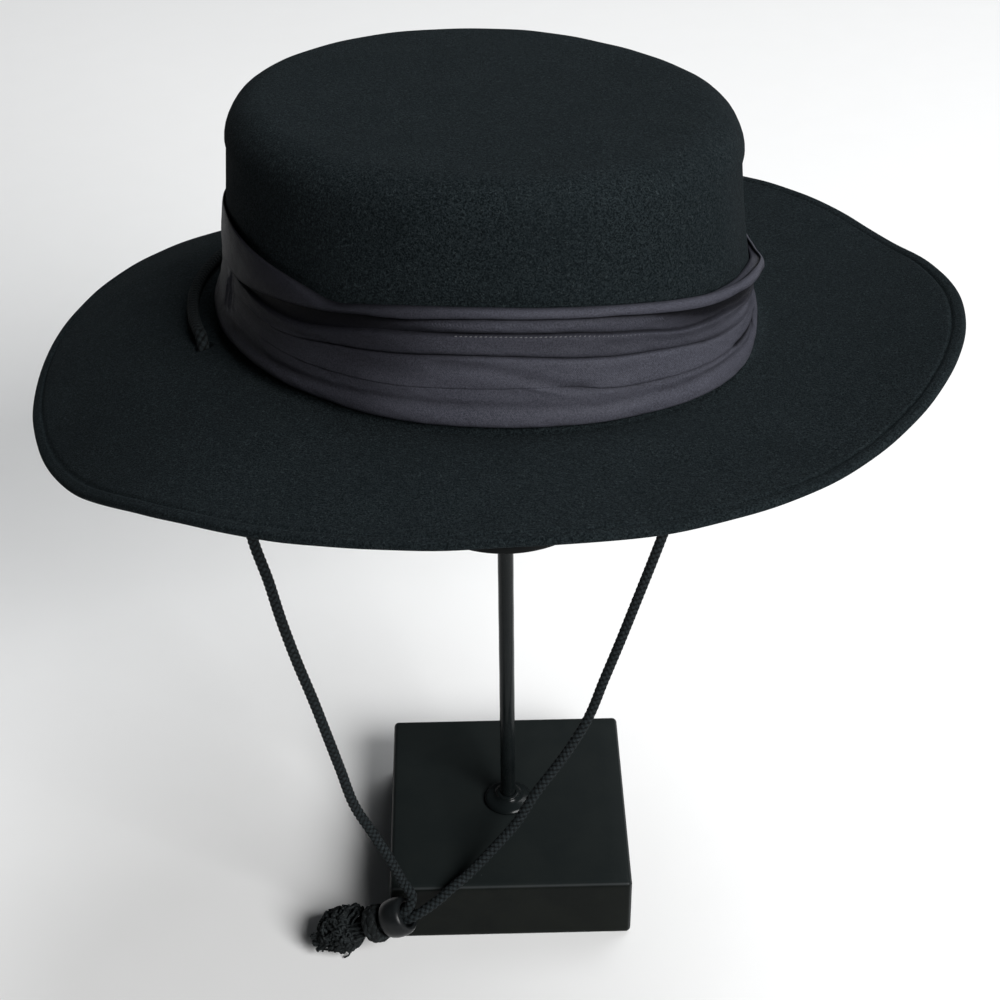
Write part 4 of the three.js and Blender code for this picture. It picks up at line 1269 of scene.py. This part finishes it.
# painted shade: the gaps between the strands are made near black
base = mixed(tree, ramp(tree, stored(tree, "depth"), 0.12, 0.62), base, painted_gap_shade)
relief = plus(tree, times(tree, twist["Height"], 0.5), nap["Height"])
lay_finish(tree, shader, base, relief, 0.5, 0.0003)
wear_finish(braided_cord, chin_cord)

# %% Finish: tassel yarn
tassel_yarn, tree, shader, place = new_finish(
    "tassel_yarn", 0.85, Sheen_Weight=0.006, Sheen_Roughness=0.4, Specular_IOR_Level=0.15)
nap = use(tree, fibre_nap, place, 1800.0, 620.0, 0.05)
clump = ramp(tree, noise(tree, place, 220, detail=2), 0.4, 0.65)
base = mixed(tree, clump, black(0.0042, 0.0056, 0.0060), black(0.0165, 0.0200, 0.0210))
base = tint(tree, base, nap["Threads"], 0.5, black(0.06, 0.068, 0.07))
# painted shade: the gaps between the knot's strands are made near black
base = mixed(tree, ramp(tree, stored(tree, "depth"), 0.2, 0.8), base, painted_gap_shade)
lay_finish(tree, shader, base, nap["Height"], 0.6, 0.0004)
wear_finish(tassel_yarn, cord_knot, cord_tuft)

# %% [markdown]
# ### Gloss and paint
#
# Bead, block, rod and disc are smooth, so what tells them apart is how sharp their
# reflections are and how the skin of paint waves. A group gives that skin: slow waves
# like orange peel and short fine scratches, which are stretched noise.

# %% Group: painted skin
painted_skin, given = new_group(
    "painted_skin",
    [("Place", "Vector", None), ("Peel", "Float", 450.0), ("Scratches", "Float", 60.0)],
    ["Height", "Scratch", "Worn edge"])
tree, place = painted_skin, given["Place"]
peel = noise(tree, place, given["Peel"], detail=2)
lines = []
for turn, stretch in ((0.5, (1.0, 18.0, 1.0)), (2.2, (14.0, 1.0, 1.0))):
    turned_place = add(tree, "Mapping", {"Vector": place, "Rotation": (0.3, 0.0, turn),
                                         "Scale": stretch}).outputs[0]
    lines.append(ramp(tree, noise(tree, turned_place, given["Scratches"], detail=1),
                      0.685, 0.72))
scratch = times(tree, calc(tree, "MAXIMUM", *lines),
                ramp(tree, noise(tree, place, 35, detail=1), 0.45, 0.7))
point = add(tree, "NewGeometry").outputs["Pointiness"]
edge = times(tree, ramp(tree, point, 0.52, 0.56),
             ramp(tree, noise(tree, place, 120, detail=4), 0.48, 0.7))
end_group(painted_skin, {"Scratch": scratch, "Worn edge": edge, "Height": calc(
    tree, "SUBTRACT", peel, times(tree, scratch, 0.25))})


# %% Finishes: bead, block, metal and plastic
def hard_finish(name, dark, light, roughness, peel, peel_depth, dust_size, worn, coat,
                shine, painted_top_light):
    """A smooth black finish: paint skin, dust, scuffs, worn edges, painted light on its top.
    """
    material, tree, shader, place = new_finish(
        name, roughness, Specular_IOR_Level=shine, Coat_Roughness=0.12, Coat_Weight=coat)
    skin = use(tree, painted_skin, place, peel, 70.0)
    dust = use(tree, dust_and_scuffs, place, 260.0, dust_size, 0.12, 55.0)
    base = mixed(tree, dust["Scuffs"], dark, light)
    # Painted light: faces that look up are made paler.
    facing = add(tree, "SeparateXYZ", {"Vector": add(tree, "NewGeometry").outputs["Normal"]})
    lying = ramp(tree, facing.outputs["Z"], 0.7, 0.98)
    base = tint(tree, base, lying, painted_top_light, black(0.03, 0.038, 0.040))
    base = tint(tree, base, skin["Worn edge"], worn, black(0.09, 0.092, 0.09))
    # painted highlight on the block's rounded edges, from the edge value the block stores
    base = tint(tree, base, ramp(tree, stored(tree, "edge"), 0.42, 0.75), 0.6,
                black(0.042, 0.047, 0.049))
    base = tint(tree, base, dust["Dust"], 0.55, black(0.22, 0.23, 0.23))
    rough = ramp(tree, dust["Scuffs"], 0, 1, roughness * 0.85, roughness * 1.25)
    tree.links.new(plus(tree, rough, times(tree, skin["Scratch"], 0.12)),
                   shader.inputs["Roughness"])
    lay_finish(tree, shader, base, skin["Height"], 0.35, peel_depth)
    return material


# roughness, peel and its depth, dust size, worn, coat, shine, painted light on the top
for name, dark, light, facts, pieces in (
        ("bead_gloss", black(0.0045, 0.0053, 0.0057), black(0.0100, 0.0112, 0.0120),
         (0.3, 240.0, 0.0002, 0.05, 0.2, 0.0, 0.16, 0.1), [slide_bead]),
        ("painted_block", black(0.0036, 0.0046, 0.0042), black(0.0062, 0.0074, 0.0062),
         (0.36, 420.0, 0.00012, 0.05, 0.5, 0.0, 0.06, 0.26), [stand_base]),
        ("painted_metal", black(0.0040, 0.0054, 0.0057), black(0.0066, 0.0084, 0.0086),
         (0.22, 600.0, 0.00008, 0.04, 0.5, 0.05, 0.12, 0.1), [stand_collar, stand_rod]),
        ("rest_plastic", black(0.0022, 0.0029, 0.0031), black(0.0040, 0.0048, 0.0050),
         (0.4, 900.0, 0.0001, 0.05, 0.15, 0.0, 0.06, 0.1), [stand_disc, hat_rest])):
    wear_finish(hard_finish(name, dark, light, *facts), *pieces)

# %% [markdown]
# ## Floor and light
#
# A plain pale floor, one big soft light from the front right that leaves the crown's
# left side dark, a weaker one from above and behind, and a dim even sky. The lights are
# large, since a small lamp would put hard glints on the bead and the block's edges.

# %% Floor
floor_mesh = bpy.data.meshes.new("floor")
floor_mesh.from_pydata([(-4, -4, 0), (4, -4, 0), (4, 4, 0), (-4, 4, 0)], [], [(0, 1, 2, 3)])
floor = placed("floor", floor_mesh)
pale_paper, tree, shader, place = new_finish("pale_paper", 0.9, Specular_IOR_Level=0.2)
tree.links.new(mixed(tree, noise(tree, place, 40, detail=5), black(0.78, 0.78, 0.775),
                     black(0.80, 0.80, 0.797)), shader.inputs["Base Color"])
wear_finish(pale_paper, floor)


# %% Lights
def soft_light(name, place, size, power, colour=(1.0, 1.0, 1.0)):
    """A round soft lamp that shines at the hat's middle."""
    data = bpy.data.lights.new(name, "AREA")
    data.shape, data.size, data.energy, data.color = "DISK", size, power, colour
    lamp = placed(name, data)
    lamp.location = place
    lamp.rotation_mode = "QUATERNION"
    lamp.rotation_quaternion = (Vector(place) - hat_middle).to_track_quat("Z", "Y")
    print(name, power, "W")


hat_middle = Vector((0, 0, 0.26))
soft_light("window", (1.34, -1.72, 1.68), 1.5, 106)
soft_light("ceiling", (0.62, 0.72, 2.0), 1.5, 33, (0.97, 0.985, 1.0))
world = bpy.data.worlds.new("room")
world.use_nodes = True
sky = world.node_tree.nodes["Background"].inputs
sky["Color"].default_value, sky["Strength"].default_value = (0.9, 0.95, 1.0, 1.0), 0.03
bpy.context.scene.world = world
bpy.context.scene.view_settings.view_transform = "Standard"
bpy.context.scene.view_settings.look = "None"
